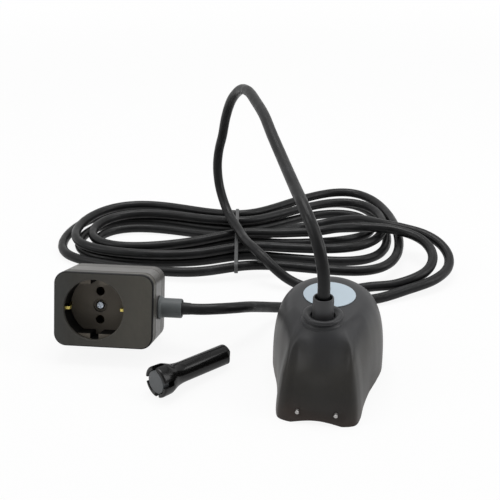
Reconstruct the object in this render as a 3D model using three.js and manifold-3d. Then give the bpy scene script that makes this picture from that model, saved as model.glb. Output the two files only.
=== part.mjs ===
// A level-sensor switch for a sump pump: a moulded sensor head that stands in the pit, a cord in a
// tied hank, a plug-through socket box that switches the pump, and the loose magnet key that tests it.
// Millimetres, +Z up. The origin is on the floor under the middle of the sensor head, whose electrode
// face looks along -Y.
import * as THREE from "three";
import { mergeVertices } from "three/addons/utils/BufferGeometryUtils.js";
import Module from "manifold-3d";

const wasm = await Module();
wasm.setup();

// ---------------------------------------------------------------- driving dimensions
const gap = 0.3; // between neighbouring pieces
const past = 1; // how far a cutting shape runs past what it cuts
const floorGap = 0.1; // under what lies on the floor
const halfTurn = 180;
const degree = Math.PI / halfTurn;

// Cord
const cordDiameter = 7.5;
const cordRadius = cordDiameter / 2;
const cordTail = 2; // that stands past its clamp inside a housing
const straightOut = 12; // that runs straight out of a gland
const tubeSides = 8;
const tubeStep = 21;

// Sensor head: half of the outline of its foot, from the middle of the front to the back, in shares of
// half its width and of its reach to the front
const headWidth = 70.4;
const headReach = 52.6;
const headFoot = [
  [0, -1],
  [0.426, -0.996],
  [0.642, -0.943],
  [0.71, -0.817],
  [0.744, -0.57],
  [0.813, -0.285],
  [0.92, -0.019],
  [1, 0.247],
  [0.972, 0.513],
  [0.796, 0.78],
  [0.455, 0.951],
];
const headBack = 53;
const headHeight = 52;
const headTopWidth = 34;
const headTopFront = -29;
const headTopBack = 31;
const headFrontFullness = 1.5; // how much the face bulges, 1 for a straight slope
const headBackFullness = 2.6;
const headFrontEase = [0.35, 0.95]; // where the side passes into the face, by how far it looks forward
const headWall = 3;
const headRows = 10;
const headColumns = 48;
const archWidth = 30;
const archHeight = 2.6;
const archDepth = 12;
const basePlateThickness = 4;
const pottingThickness = 8;

// Collar and sleeve that the cord leaves the head through
const collarPlace = new THREE.Vector2(-1.2, -19);
const collarDiameter = 25;
const collarHeight = 4;
const collarSkirt = 6;
const collarProfile = [
  [0.6, -collarSkirt],
  [0, -1],
  [-0.9, 0.55 * collarHeight],
  [-2.6, collarHeight],
]; // [out from the collar's side, up from the head's top]
const collarLip = 0.8;
const sleeveDiameter = 12.8;
const sleeveTop = 66.4;
const sleeveSeat = 37;
const sleeveFlange = 3;
const collarBoreGap = 0.9;
const cordFit = 0.4;
const headClampThickness = 4.8;

// Round label on the head
const labelDiameter = 32.6;
const labelCentre = 11;
const labelThickness = 0.4;

// Electrodes in the face
const electrodeSpacing = 22.4;
const electrodeHeight = 7.4;
const electrodeDiameter = 2.4;
const electrodeHeadDiameter = 3.2;
const electrodeHeadThickness = 0.6;
const electrodeLength = 16;
const sealDiameter = 5.4;
const sealThickness = 1.6;

// Circuit board and what it carries
const boardWidth = 34;
const boardLength = 58;
const boardThickness = 1.6;
const boardCentre = 4;
const relaySize = [12.5, 19, 15.5];
const capacitorDiameter = 10;
const capacitorLength = 16;
const terminalSize = [15, 8, 10];
const terminalBehind = 6; // the collar
const boardMargin = 2; // from its back edge to the relay
const partMargin = 1; // from its sides to the relay and the capacitor
const reedBehind = 4; // its middle
const reedDiameter = 2.6;
const reedLength = 14;

// Socket box, whose own frame is x along its face, y up its face and z out of it
const boxWidth = 64.6;
const boxHeight = 48.4;
const boxDepth = 40;
const boxCorner = 8;
const boxLeft = 144.7; // of the middle of the head
const boxBehind = 24.9;
const boxTurn = 4.4 * degree;
const boxWall = 2.4;
const coverDepth = 8.5;
const rearDepth = 12;
const coverEdge = 1;
const seamInset = 0.9;

// Socket: a round recess that takes a plug
const recessDiameter = 39;
const recessDepth = 17.5;
const recessSide = 25.9; // from the left edge of the box to the middle of the recess
const insertWall = 2;
const insertFloor = 3;
const pinSpacing = 19;
const pinHoleDiameter = 5.5;
const flatReach = 16.1; // from the middle of the recess to the flats above and below it
const flatTop = 3.6; // below the face
const flatSlotWidth = 5.6;
const clipWidth = 2.6;
const clipThickness = 0.8;
const clipTravel = 1.2;
const clipReach = 2.4;
const clipFlat = 3;
const clipTop = 3.4; // below the face
const clipPocketReach = 0.6; // into the recess
const strapWidth = 5.2;
const strapThickness = 1;
const strapPast = 1; // beyond the recess on each side
const contactWall = 1;
const contactLength = 12;
const contactFloor = 2;

// Plug on the back
const bossDiameter = 36.6;
const bossLength = 17.5;
const bossWall = 3;
const plugPinDiameter = 4.8;
const plugPinLength = 19;
const pinRoot = 9;
const earthStripWidth = 6;
const earthStripThickness = 0.8;
const stripBack = 1; // from the back of the box

// Screws
const centreScrewHead = 5.6;
const centreScrewSeatDiameter = 9;
const centreScrewSeatDepth = 1.5;
const centreScrewShank = 3;
const centreScrewLength = 9;
const rearScrewHead = 5.4;
const rearScrewShank = 2.9;
const rearScrewLength = 30;
const rearScrewInset = 5.2;
const rearScrewBite = 4; // into the front cover
const pillarWall = 1.7;
const headPillarWall = 1.2;
const screwHeadHeight = 2;
const screwSlot = 0.9;
const screwSlotReach = 0.34; // of the head's diameter
const screwSlotDepth = 0.6; // of the head's height

// Gland on the side of the box
const glandDiameter = 12.8;
const glandLength = 15.5;
const glandRoot = 5;
const glandFlange = 2;
const glandCollarDiameter = 15.6;
const glandAxisDepth = 20;
const clampLength = 5;

// Magnet key that lies in front
const keyLeft = 98.9;
const keyAhead = 41.8;
const keyTurn = 53 * degree;
const keyTubeDiameter = 13.2;
const keyHeadDiameter = 20.2;
const keyHeadLength = 13;
const keyShoulder = 7.4;
const keyShoulderDiameter = 19.8;
const keyFlare = 6.5; // from the head to the plain tube
const keyNeckStep = 1.1;
const keyFrontEase = [0.9, 1.3];
const keyTailEase = 0.9;
const keyLength = 56.5;
const keyBore = 8.4;
const keySlotWidth = 3.6;
const keySlotDepth = 6.8;
const keySlotTurn = -10;
const keyTailStep = 2.6;
const keyTailDrop = 0.7; // of the tube's radius, below which the tail is cut back
const magnetDiameter = 14.6;
const magnetThickness = 5;

// Hank: loops that spiral out in a lower layer and in again in an upper one. A list of three gives a
// measure at the middle of the spiral, its growth for each loop out, and for each loop squared
const hankLeft = 84.6;
const hankBehind = 185.4;
const hankTurn = 17.9 * degree;
const layerStep = 8.05;
const stepAngle = 10;
const apartAngle = 120; // from which two stretches count as neighbours
const hankStart = 75;
const hankClimb = 990;
const hankEnd = 1725;
const loopsOut = 2.5;
const hankReach = {
  left: [119.4, 14.3, -0.2],
  right: [100.2, 15.7, -2.2],
};
const hankFan = {
  nearLeft: [59.4, -35.6, -0.2],
  farLeft: [71.5, 14, 4.9],
  nearRight: [-24.6, 71.7, 0],
  farRight: [41.8, 24.8, -0.2],
};
const hankWaist = {
  near: [-3.7, 25.5, 0],
  far: [0.8, 14.3, 0],
};
const hankBow = { left: 10.9, right: 13.9 };
const upperShift = { left: 4.5, right: 2.1 };
const fanEase = 0.13; // how softly the fan opens from the waist
const waistRise = 24; // how far from the tie the hank comes down to the floor
const tieTurn = 10 * degree;
const tieLeft = 7; // of the hank's middle
const tieWidth = 3.6;
const tieThickness = 1.1;
const tieClearance = 0.4;
const runSamples = 4000; // along the hank, to find the runs in the tie
const tieHeadSize = [5.2, 5.6, 3.6];

// ---------------------------------------------------------------- solids
// A closed geometry as a solid that can be joined and cut
function solid(geometry) {
  const bare = new THREE.BufferGeometry();
  bare.setAttribute("position", geometry.getAttribute("position"));
  if (geometry.index) bare.setIndex(geometry.index);
  const merged = mergeVertices(bare, 1e-4);
  return new wasm.Manifold(
    new wasm.Mesh({
      numProp: 3,
      vertProperties: new Float32Array(merged.attributes.position.array),
      triVerts: new Uint32Array(merged.index.array),
    }),
  );
}

// A solid as a geometry again
function geometryOf(manifold) {
  const mesh = manifold.getMesh();
  const geometry = new THREE.BufferGeometry();
  const points = new Float32Array(mesh.vertProperties);
  geometry.setAttribute("position", new THREE.BufferAttribute(points, 3));
  geometry.setIndex(new THREE.BufferAttribute(new Uint32Array(mesh.triVerts), 1));
  geometry.computeVertexNormals();
  return geometry;
}

function cut(whole, ...tools) {
  return tools.reduce((left, tool) => left.subtract(tool), whole);
}

function join(first, ...others) {
  return others.reduce((sum, other) => sum.add(other), first);
}

function lerp(a, b, share) {
  return a + (b - a) * share;
}

function finish(colour, roughness, metalness = 0) {
  return { colour, roughness, metalness };
}

// One named piece with its own material
function piece(group, name, manifold, look) {
  const material = new THREE.MeshStandardMaterial({
    color: look.colour,
    roughness: look.roughness,
    metalness: look.metalness,
  });
  const mesh = new THREE.Mesh(geometryOf(manifold), material);
  mesh.name = name;
  group.add(mesh);
  return mesh;
}

// A rod along +Z from z0 to z1
function rod(x, y, z0, z1, diameter, sides = 24) {
  const bar = new THREE.CylinderGeometry(diameter / 2, diameter / 2, z1 - z0, sides);
  bar.rotateX(Math.PI / 2);
  bar.translate(x, y, (z0 + z1) / 2);
  return solid(bar);
}

// A rod along +X from x0 to x1
function rodX(x0, x1, y, z, diameter, sides = 24) {
  const bar = new THREE.CylinderGeometry(diameter / 2, diameter / 2, x1 - x0, sides);
  bar.rotateZ(-Math.PI / 2);
  bar.translate((x0 + x1) / 2, y, z);
  return solid(bar);
}

// A rod along +Y from y0 to y1
function rodY(x, y0, y1, z, diameter, sides = 20) {
  const bar = new THREE.CylinderGeometry(diameter / 2, diameter / 2, y1 - y0, sides);
  bar.translate(x, (y0 + y1) / 2, z);
  return solid(bar);
}

// A block between two corners
function block(x0, x1, y0, y1, z0, z1) {
  const box = new THREE.BoxGeometry(x1 - x0, y1 - y0, z1 - z0);
  box.translate((x0 + x1) / 2, (y0 + y1) / 2, (z0 + z1) / 2);
  return solid(box);
}

// A profile of [radius, height] points turned about an upright axis at x, y
function turned(x, y, profile, segments = 40) {
  const lathe = new THREE.LatheGeometry(
    profile.map(([radius, height]) => new THREE.Vector2(radius, height)),
    segments,
  );
  lathe.rotateX(Math.PI / 2);
  lathe.translate(x, y, 0);
  return solid(lathe);
}

function roundedOutline(x0, x1, y0, y1, radius) {
  const outline = new THREE.Shape();
  outline.moveTo(x0 + radius, y0);
  outline.lineTo(x1 - radius, y0);
  outline.absarc(x1 - radius, y0 + radius, radius, -Math.PI / 2, 0, false);
  outline.lineTo(x1, y1 - radius);
  outline.absarc(x1 - radius, y1 - radius, radius, 0, Math.PI / 2, false);
  outline.lineTo(x0 + radius, y1);
  outline.absarc(x0 + radius, y1 - radius, radius, Math.PI / 2, Math.PI, false);
  outline.lineTo(x0, y0 + radius);
  outline.absarc(x0 + radius, y0 + radius, radius, Math.PI, Math.PI * 1.5, false);
  return outline;
}

// An outline made solid from z0 to z1, its front edge eased by the bevel
function raised(outline, z0, z1, bevel = 0, curveSegments = 4) {
  const body = new THREE.ExtrudeGeometry(outline, {
    depth: z1 - z0 - bevel,
    bevelEnabled: false,
    curveSegments,
  });
  body.translate(0, 0, z0);
  if (!bevel) return solid(body);
  const cap = new THREE.ExtrudeGeometry(outline, {
    depth: z1 - z0 - 2 * bevel,
    bevelEnabled: true,
    bevelThickness: bevel,
    bevelSize: bevel,
    bevelOffset: -bevel,
    bevelSegments: 2,
    curveSegments,
  });
  cap.translate(0, 0, z0 + bevel);
  return join(solid(body), solid(cap));
}

// A plain tube along a list of points
function tube(points, diameter, sides, step) {
  const path = new THREE.CatmullRomCurve3(points, false, "centripetal");
  const section = new THREE.Shape();
  for (let i = 0; i < sides; i += 1) {
    const angle = (i / sides) * 2 * Math.PI;
    const place = [(diameter / 2) * Math.cos(angle), (diameter / 2) * Math.sin(angle)];
    if (i) section.lineTo(...place);
    else section.moveTo(...place);
  }
  const steps = Math.max(2, Math.round(path.getLength() / step));
  return solid(new THREE.ExtrudeGeometry(section, { steps, extrudePath: path, bevelEnabled: false }));
}

// ---------------------------------------------------------------- sensor head
const plastic = finish(0x3e3d3a, 0.55);
const darkPlastic = finish(0x353431, 0.5);
const sidePlastic = finish(0x55534e, 0.4);
const blackRubber = finish(0x26272a, 0.6);
const resin = finish(0x3c2826, 0.45);
const steel = finish(0xb9b7b2, 0.3, 1);
const brass = finish(0xb08d3c, 0.3, 1);
const white = finish(0xeef0f2, 0.5);

const boardFloor = basePlateThickness + gap + pottingThickness + gap;
const boardTop = boardFloor + boardThickness;
const partsFloor = boardTop + gap;
const roofUnder = headHeight - headWall;
const collarTop = headHeight + collarHeight;
const collarBore = sleeveDiameter + 2 * collarBoreGap;
const clampUnder = sleeveSeat - gap - headClampThickness;
const electrodeBore = electrodeDiameter + 2 * gap;
const labelUnder = headHeight + gap / 3;

// The outline of the head's foot, anticlockwise from the middle of the front
function footOutline() {
  const right = headFoot
    .slice(1)
    .map(([x, y]) => new THREE.Vector3((x * headWidth) / 2, y * headReach, 0));
  const left = right.map((p) => new THREE.Vector3(-p.x, p.y, 0)).reverse();
  const front = new THREE.Vector3(0, -headReach, 0);
  const back = new THREE.Vector3(0, headBack, 0);
  const curve = new THREE.CatmullRomCurve3([front, ...right, back, ...left], true, "centripetal");
  return curve.getSpacedPoints(headColumns).slice(0, headColumns);
}

// The head's outer form, or the same form drawn in all round by an inset, from a floor height up
function headForm(inset, floor) {
  const centreY = (headTopFront + headTopBack) / 2;
  const topX = headTopWidth / 2 - inset / 2;
  const topY = (headTopBack - headTopFront) / 2 - inset / 2;
  const height = headHeight - inset;
  const foot = footOutline();
  const points = [];
  foot.forEach((p) => {
    const dx = p.x;
    const dy = p.y - centreY;
    const reach = Math.hypot(dx, dy);
    const cos = dx / reach;
    const sin = dy / reach;
    const top = 1 / Math.hypot(cos / topX, sin / topY);
    const front = THREE.MathUtils.smoothstep(-sin, ...headFrontEase);
    const fullness = THREE.MathUtils.lerp(headBackFullness, headFrontFullness, front);
    for (let row = 0; row <= headRows; row += 1) {
      const turn = (row / headRows) * (Math.PI / 2);
      const out = Math.cos(turn) ** (2 / fullness);
      const up = Math.sin(turn) ** (2 / fullness);
      const radius = top + (reach - inset - top) * (row === headRows ? 0 : out);
      const z = row === 0 ? floor : height * (row === headRows ? 1 : up);
      points.push(radius * cos, centreY + radius * sin, z);
    }
  });
  const faces = [];
  const rows = headRows + 1;
  const bottom = points.length / 3;
  points.push(0, centreY, floor);
  points.push(0, centreY, height);
  for (let i = 0; i < headColumns; i += 1) {
    const here = i * rows;
    const next = ((i + 1) % headColumns) * rows;
    for (let row = 0; row < headRows; row += 1) {
      faces.push(here + row, next + row, next + row + 1);
      faces.push(here + row, next + row + 1, here + row + 1);
    }
    faces.push(bottom, next, here);
    faces.push(bottom + 1, here + headRows, next + headRows);
  }
  const form = new THREE.BufferGeometry();
  form.setAttribute("position", new THREE.Float32BufferAttribute(points, 3));
  form.setIndex(faces);
  return solid(form);
}

// How far forward the head's face is at a height
function faceAt(height) {
  const up = height / headHeight;
  const out = (1 - up ** headFrontFullness) ** (1 / headFrontFullness);
  return headTopFront - (headReach + headTopFront) * out;
}

// A slice of the head's inside that a filling takes up
function insideSlice(z0, z1) {
  const reach = 2 * headBack;
  return headForm(headWall + gap, -past).intersect(block(-reach, reach, -reach, reach, z0, z1));
}

function archCut() {
  const radius = (archWidth ** 2 / 4 + archHeight ** 2) / (2 * archHeight);
  return rodY(0, -headReach - past, archDepth - headReach, archHeight - radius, 2 * radius, 120);
}

function electrodePlaces() {
  return [
    ["left", -electrodeSpacing / 2],
    ["right", electrodeSpacing / 2],
  ];
}

function makeHead(group) {
  const face = faceAt(electrodeHeight - electrodeHeadDiameter / 2);
  const { x: collarX, y: collarY } = collarPlace;
  const collarSide = collarProfile.map(([out, up]) => [collarDiameter / 2 + out, headHeight + up]);
  const collar = turned(collarX, collarY, [
    [0, headHeight - collarSkirt],
    ...collarSide,
    [collarBore / 2 + collarLip, collarTop],
    [0, collarTop],
  ]);
  const cavity = headForm(headWall, -past);
  const boss = rod(collarX, collarY, sleeveSeat, headHeight - past, collarBore + 2 * headWall, 32);
  const electrodeHoles = electrodePlaces().map(([, x]) =>
    rodY(x, face - headWall, face + 3 * headWall, electrodeHeight, electrodeBore, 16),
  );
  const shell = cut(
    join(cut(join(headForm(0, 0), collar), cavity), boss.intersect(headForm(0, 0))),
    rod(collarX, collarY, sleeveSeat - past, collarTop + past, collarBore, 32),
    archCut(),
    ...electrodeHoles,
  );
  piece(group, "sensor_housing", shell, plastic);

  const shankHoles = electrodePlaces().map(([, x]) =>
    rodY(x, face, face + electrodeLength + past, electrodeHeight, electrodeBore, 16),
  );
  const plate = cut(insideSlice(0, basePlateThickness), archCut());
  piece(group, "base_plate", plate, resin);

  const sealSeat = face + headWall + sealThickness;
  const sealPockets = electrodePlaces().map(([, x]) =>
    rodY(x, face, sealSeat + sealThickness + gap, electrodeHeight, sealDiameter + 2 * gap, 20),
  );
  const potting = cut(
    insideSlice(basePlateThickness + gap, basePlateThickness + gap + pottingThickness),
    ...shankHoles,
    ...sealPockets,
  );
  piece(group, "potting_compound", potting, resin);

  electrodePlaces().forEach(([side, x]) => {
    const shank = rodY(x, face - gap, face + electrodeLength, electrodeHeight, electrodeDiameter, 16);
    const head = rodY(
      x,
      face - 3 * gap - electrodeHeadThickness,
      face - gap,
      electrodeHeight,
      electrodeHeadDiameter,
      20,
    );
    piece(group, `electrode_${side}`, join(shank, head), steel);
    const ring = rodY(x, sealSeat, sealSeat + sealThickness, electrodeHeight, sealDiameter, 20);
    const sealBack = sealSeat + sealThickness;
    const bore = rodY(x, sealSeat - past, sealBack + past, electrodeHeight, electrodeBore, 16);
    piece(group, `electrode_seal_${side}`, cut(ring, bore), blackRubber);
  });

  const label = rod(0, labelCentre, labelUnder, labelUnder + labelThickness, labelDiameter, 48);
  piece(group, "sensor_label", label, white);
}

// The sleeve round the cord, the rubber seal under it and the clamp that holds the cord inside
function makeCordEntry(group) {
  const { x, y } = collarPlace;
  const bore = cordDiameter + 2 * cordFit;
  const seat = sleeveSeat + sleeveFlange;
  const sleeve = cut(
    rod(x, y, seat + gap, sleeveTop, sleeveDiameter, 32),
    rod(x, y, sleeveSeat - past, sleeveTop + past, bore, 24),
  );
  piece(group, "sensor_sleeve", sleeve, darkPlastic);
  const seal = cut(
    rod(x, y, sleeveSeat + gap, seat, collarBore - 2 * gap, 32),
    rod(x, y, sleeveSeat - past, seat + past, bore, 24),
  );
  piece(group, "cord_seal", seal, blackRubber);
  const clamp = cut(
    rod(x, y, clampUnder, sleeveSeat - gap, collarBore + 2 * headWall, 24),
    rod(x, y, clampUnder - past, sleeveSeat, bore, 24),
  );
  piece(group, "sensor_cord_clamp", clamp, darkPlastic);
}

// Circuit board with its relay, capacitor, terminal block and the reed switch that the key works
function makeBoard(group) {
  const halfWidth = boardWidth / 2;
  const front = boardCentre - boardLength / 2;
  const back = boardCentre + boardLength / 2;
  const board = block(-halfWidth, halfWidth, front, back, boardFloor, boardTop);
  piece(group, "circuit_board", board, finish(0x1f5a36, 0.5));
  const [relayWidth, relayLength, relayHeight] = relaySize;
  const relayBack = back - boardMargin;
  const relay = block(
    -halfWidth + partMargin,
    -halfWidth + partMargin + relayWidth,
    relayBack - relayLength,
    relayBack,
    partsFloor,
    partsFloor + relayHeight,
  );
  piece(group, "relay", relay, finish(0x2a4f8f, 0.4));
  const capacitorX = halfWidth - capacitorDiameter / 2 - partMargin;
  const capacitorY = relayBack - relayLength / 2;
  const capacitorTop = partsFloor + capacitorLength;
  const capacitor = rod(capacitorX, capacitorY, partsFloor, capacitorTop, capacitorDiameter, 24);
  piece(group, "capacitor", capacitor, finish(0x20242c, 0.35));
  const [terminalWidth, terminalLength, terminalHeight] = terminalSize;
  const terminal = block(
    -terminalWidth / 2,
    terminalWidth / 2,
    collarPlace.y + terminalBehind - terminalLength / 2,
    collarPlace.y + terminalBehind + terminalLength / 2,
    partsFloor,
    partsFloor + terminalHeight,
  );
  piece(group, "terminal_block", terminal, finish(0x3f7d4a, 0.5));
  const reedHeight = partsFloor + reedDiameter / 2;
  const reed = rodX(-reedLength / 2, reedLength / 2, boardCentre + reedBehind, reedHeight, reedDiameter, 12);
  piece(group, "reed_switch", reed, finish(0x9fb4a8, 0.15));
}

// ---------------------------------------------------------------- socket box
const bossCentre = boxHeight / 2;
const boxLean = Math.atan2(bossCentre - bossDiameter / 2, bossLength);
const faceDepth = boxDepth - coverDepth;
const recessFloor = boxDepth - recessDepth;
const insertBack = recessFloor - insertFloor;
const screwSeatFloor = recessFloor - centreScrewSeatDepth;
const recessOffset = recessSide - boxWidth / 2;
const clipEnd = boxDepth - clipTop;
const insertDiameter = recessDiameter + 2 * insertWall;
const contactDiameter = pinHoleDiameter + 2 * contactWall;
const centreScrewBore = centreScrewShank + 2 * gap;
const rearScrewBore = rearScrewShank + 2 * gap;
const pillarDiameter = rearScrewShank + 2 * pillarWall;
const headPillarDiameter = rearScrewHead + 2 * headPillarWall;
const pinPlaces = [
  ["upper", pinSpacing / 2],
  ["lower", -pinSpacing / 2],
];

function boxOutline(inset) {
  const x = boxWidth / 2 - inset;
  return roundedOutline(-x, x, inset, boxHeight - inset, boxCorner - inset);
}

function rearScrewPlaces() {
  const x = boxWidth / 2 - rearScrewInset;
  const low = rearScrewInset;
  const high = boxHeight - rearScrewInset;
  return [
    ["lower_left", -x, low],
    ["lower_right", x, low],
    ["upper_left", -x, high],
    ["upper_right", x, high],
  ];
}

function screwPillars(z0, z1, diameter) {
  return rearScrewPlaces().map(([, x, y]) => rod(x, y, z0, z1, diameter, 16));
}

function clipPocket(side) {
  const wall = recessOffset + side * (recessDiameter / 2);
  const inner = wall - side * clipPocketReach;
  const outer = wall + side * (insertWall + clipTravel + clipThickness + 2 * gap);
  const [x0, x1] = side > 0 ? [inner, outer] : [outer, inner];
  const half = clipWidth / 2 + gap;
  const [low, high] = [bossCentre - half, bossCentre + half];
  return block(x0, x1, low, high, insertBack - past, clipEnd + gap);
}

function makeFrontCover(group) {
  const opening = rod(recessOffset, bossCentre, 0, boxDepth + past, insertDiameter + 2 * gap, 48);
  const hollow = raised(boxOutline(boxWall), 0, boxDepth - boxWall);
  const shell = cut(raised(boxOutline(0), faceDepth + gap, boxDepth, coverEdge), hollow);
  const pillars = screwPillars(faceDepth + gap, boxDepth - boxWall / 2, pillarDiameter);
  const bores = screwPillars(0, faceDepth + rearScrewBite, rearScrewBore);
  piece(group, "box_front_cover", cut(join(shell, ...pillars), opening, ...bores), darkPlastic);
}

function makeInsert(group) {
  const cup = rod(recessOffset, bossCentre, insertBack, boxDepth - gap, insertDiameter, 48);
  const recess = rod(recessOffset, bossCentre, recessFloor, boxDepth + past, recessDiameter, 48);
  const pinHoles = pinPlaces.map(([, y]) =>
    rod(recessOffset, bossCentre + y, insertBack - past, boxDepth, pinHoleDiameter, 20),
  );
  const screwHole = rod(recessOffset, bossCentre, insertBack - past, boxDepth, centreScrewBore, 16);
  const screwSeat = rod(recessOffset, bossCentre, screwSeatFloor, boxDepth, centreScrewSeatDiameter, 32);
  const filling = rod(
    recessOffset,
    bossCentre,
    recessFloor - past,
    boxDepth - flatTop,
    insertDiameter - past,
    48,
  );
  const slot = block(
    recessOffset - flatSlotWidth / 2,
    recessOffset + flatSlotWidth / 2,
    0,
    boxHeight,
    0,
    boxDepth,
  );
  const between = block(
    recessOffset - insertDiameter,
    recessOffset + insertDiameter,
    bossCentre - flatReach,
    bossCentre + flatReach,
    0,
    boxDepth,
  );
  const insert = cut(
    join(cut(cup, recess), cut(filling, between, slot)),
    ...pinHoles,
    screwHole,
    screwSeat,
    clipPocket(1),
    clipPocket(-1),
  );
  piece(group, "socket_insert", insert, finish(0x3b3a36, 0.5));
}

// The sprung side contacts: each blade stands in a pocket of the socket's wall and bends outward
function makeEarthClip(group, name, side) {
  const wall = recessOffset + side * (recessDiameter / 2);
  const inner = wall - side * clipReach;
  const back = wall + side * clipThickness;
  const foot = recessFloor + gap;
  const middle = (foot + clipEnd) / 2;
  const profile = new THREE.Shape();
  profile.moveTo(back, insertBack);
  profile.lineTo(back, clipEnd);
  profile.lineTo(wall, clipEnd);
  profile.lineTo(inner, middle + clipFlat);
  profile.lineTo(inner, middle);
  profile.lineTo(wall, foot);
  profile.lineTo(wall, insertBack);
  profile.closePath();
  const blade = new THREE.ExtrudeGeometry(profile, { depth: clipWidth, bevelEnabled: false });
  blade.rotateX(Math.PI / 2);
  blade.translate(0, bossCentre + clipWidth / 2, 0);
  piece(group, name, solid(blade), brass);
}

function makeContacts(group) {
  pinPlaces.forEach(([level, y]) => {
    const z1 = insertBack - gap;
    const z0 = z1 - contactLength;
    const barrel = cut(
      rod(recessOffset, bossCentre + y, z0, z1, contactDiameter, 20),
      rod(recessOffset, bossCentre + y, z0 + contactFloor, z1 + past, pinHoleDiameter, 20),
    );
    piece(group, `pole_contact_${level}`, barrel, brass);
  });
  const strap = cut(
    block(
      recessOffset - recessDiameter / 2 - strapPast,
      recessOffset + recessDiameter / 2 + strapPast,
      bossCentre - strapWidth / 2,
      bossCentre + strapWidth / 2,
      insertBack - gap - strapThickness,
      insertBack - gap,
    ),
    rod(recessOffset, bossCentre, 0, boxDepth, centreScrewBore, 16),
    ...pinPlaces.map(([, y]) =>
      rod(recessOffset, bossCentre + y, 0, boxDepth, contactDiameter + 2 * gap, 20),
    ),
  );
  piece(group, "earth_strap", strap, brass);
}

// A screw along z, head at the top, with a cross cut in it
function screw(x, y, top, headDiameter, shankDiameter, length, direction) {
  const under = top - direction * screwHeadHeight;
  const end = top - direction * length;
  const head = rod(x, y, Math.min(top, under), Math.max(top, under), headDiameter, 24);
  const shank = rod(x, y, Math.min(under, end), Math.max(under, end), shankDiameter, 16);
  const arm = headDiameter * screwSlotReach;
  const slotBottom = top - direction * screwHeadHeight * screwSlotDepth;
  const z0 = Math.min(top + direction, slotBottom);
  const z1 = Math.max(top + direction, slotBottom);
  return cut(
    join(head, shank),
    block(x - arm, x + arm, y - screwSlot / 2, y + screwSlot / 2, z0, z1),
    block(x - screwSlot / 2, x + screwSlot / 2, y - arm, y + arm, z0, z1),
  );
}

function makeMiddleShell(group) {
  const z0 = rearDepth + gap;
  const ring = cut(
    raised(boxOutline(0), z0, faceDepth),
    raised(boxOutline(boxWall), z0 - past, faceDepth + past),
  );
  const pillars = screwPillars(z0, faceDepth, pillarDiameter);
  const bores = screwPillars(0, boxDepth, rearScrewBore);
  const socketRoom = rod(recessOffset, bossCentre, 0, boxDepth, insertDiameter + 2 * gap, 48);
  const glandHole = rodX(
    boxWidth / 2 - 2 * boxWall,
    boxWidth / 2 + past,
    bossCentre,
    glandAxisDepth,
    glandDiameter + 2 * gap,
    32,
  );
  const seam = cut(
    raised(boxOutline(-past), faceDepth - seamInset, faceDepth + past),
    raised(boxOutline(seamInset), faceDepth - seamInset - past, faceDepth + 2 * past),
  );
  const shell = cut(join(ring, ...pillars), ...bores, socketRoom, glandHole, seam);
  piece(group, "box_middle_shell", shell, sidePlastic);
}

function makeRearCover(group) {
  const tray = cut(
    raised(boxOutline(0), 0, rearDepth),
    raised(boxOutline(boxWall), boxWall, rearDepth + past),
  );
  const pillars = screwPillars(past, rearDepth, headPillarDiameter);
  const boss = rod(0, bossCentre, -bossLength, past, bossDiameter, 48);
  const bossHollow = rod(0, bossCentre, bossWall - bossLength, rearDepth, bossDiameter - 2 * bossWall, 40);
  const pinBores = pinPlaces.map(([, y]) =>
    rod(0, bossCentre + y, -bossLength - past, rearDepth, plugPinDiameter + 2 * gap, 20),
  );
  const heads = screwPillars(-past, screwHeadHeight + 2 * gap, rearScrewHead + 2 * gap);
  const bores = screwPillars(-past, boxDepth, rearScrewBore);
  const stripSlots = [1, -1].map((side) => {
    const outer = side * (bossDiameter / 2 + past);
    const inner = side * (bossDiameter / 2 - earthStripThickness - gap);
    const half = earthStripWidth / 2 + gap;
    return block(
      Math.min(inner, outer),
      Math.max(inner, outer),
      bossCentre - half,
      bossCentre + half,
      -bossLength - past,
      -stripBack,
    );
  });
  const rear = cut(
    join(tray, ...pillars, boss),
    bossHollow,
    ...pinBores,
    ...heads,
    ...bores,
    ...stripSlots,
  );
  piece(group, "box_rear_cover", rear, darkPlastic);
}

function makePlug(group) {
  pinPlaces.forEach(([level, y]) => {
    const tip = -bossLength - plugPinLength;
    const straight = tip + plugPinDiameter / 2;
    const pin = rod(0, bossCentre + y, straight, -bossLength + pinRoot, plugPinDiameter, 20);
    const round = new THREE.SphereGeometry(plugPinDiameter / 2, 20, 12);
    round.rotateX(Math.PI / 2);
    round.translate(0, bossCentre + y, straight);
    piece(group, `plug_pin_${level}`, join(pin, solid(round)), steel);
  });
  [
    ["left", -1],
    ["right", 1],
  ].forEach(([name, side]) => {
    const outer = side * (bossDiameter / 2 - gap / 2);
    const inner = outer - side * (earthStripThickness - gap / 2);
    const strip = block(
      Math.min(inner, outer),
      Math.max(inner, outer),
      bossCentre - earthStripWidth / 2,
      bossCentre + earthStripWidth / 2,
      -bossLength + gap,
      -stripBack - gap,
    );
    piece(group, `plug_earth_strip_${name}`, strip, brass);
  });
}

function makeScrews(group) {
  rearScrewPlaces().forEach(([name, x, y]) => {
    const rear = screw(x, y, gap, rearScrewHead, rearScrewShank, rearScrewLength, -1);
    piece(group, `rear_screw_${name}`, rear, steel);
  });
  const top = screwSeatFloor + screwHeadHeight + gap;
  const centre = screw(
    recessOffset,
    bossCentre,
    top,
    centreScrewHead,
    centreScrewShank,
    centreScrewLength,
    1,
  );
  piece(group, "centre_screw", centre, steel);
}

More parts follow.
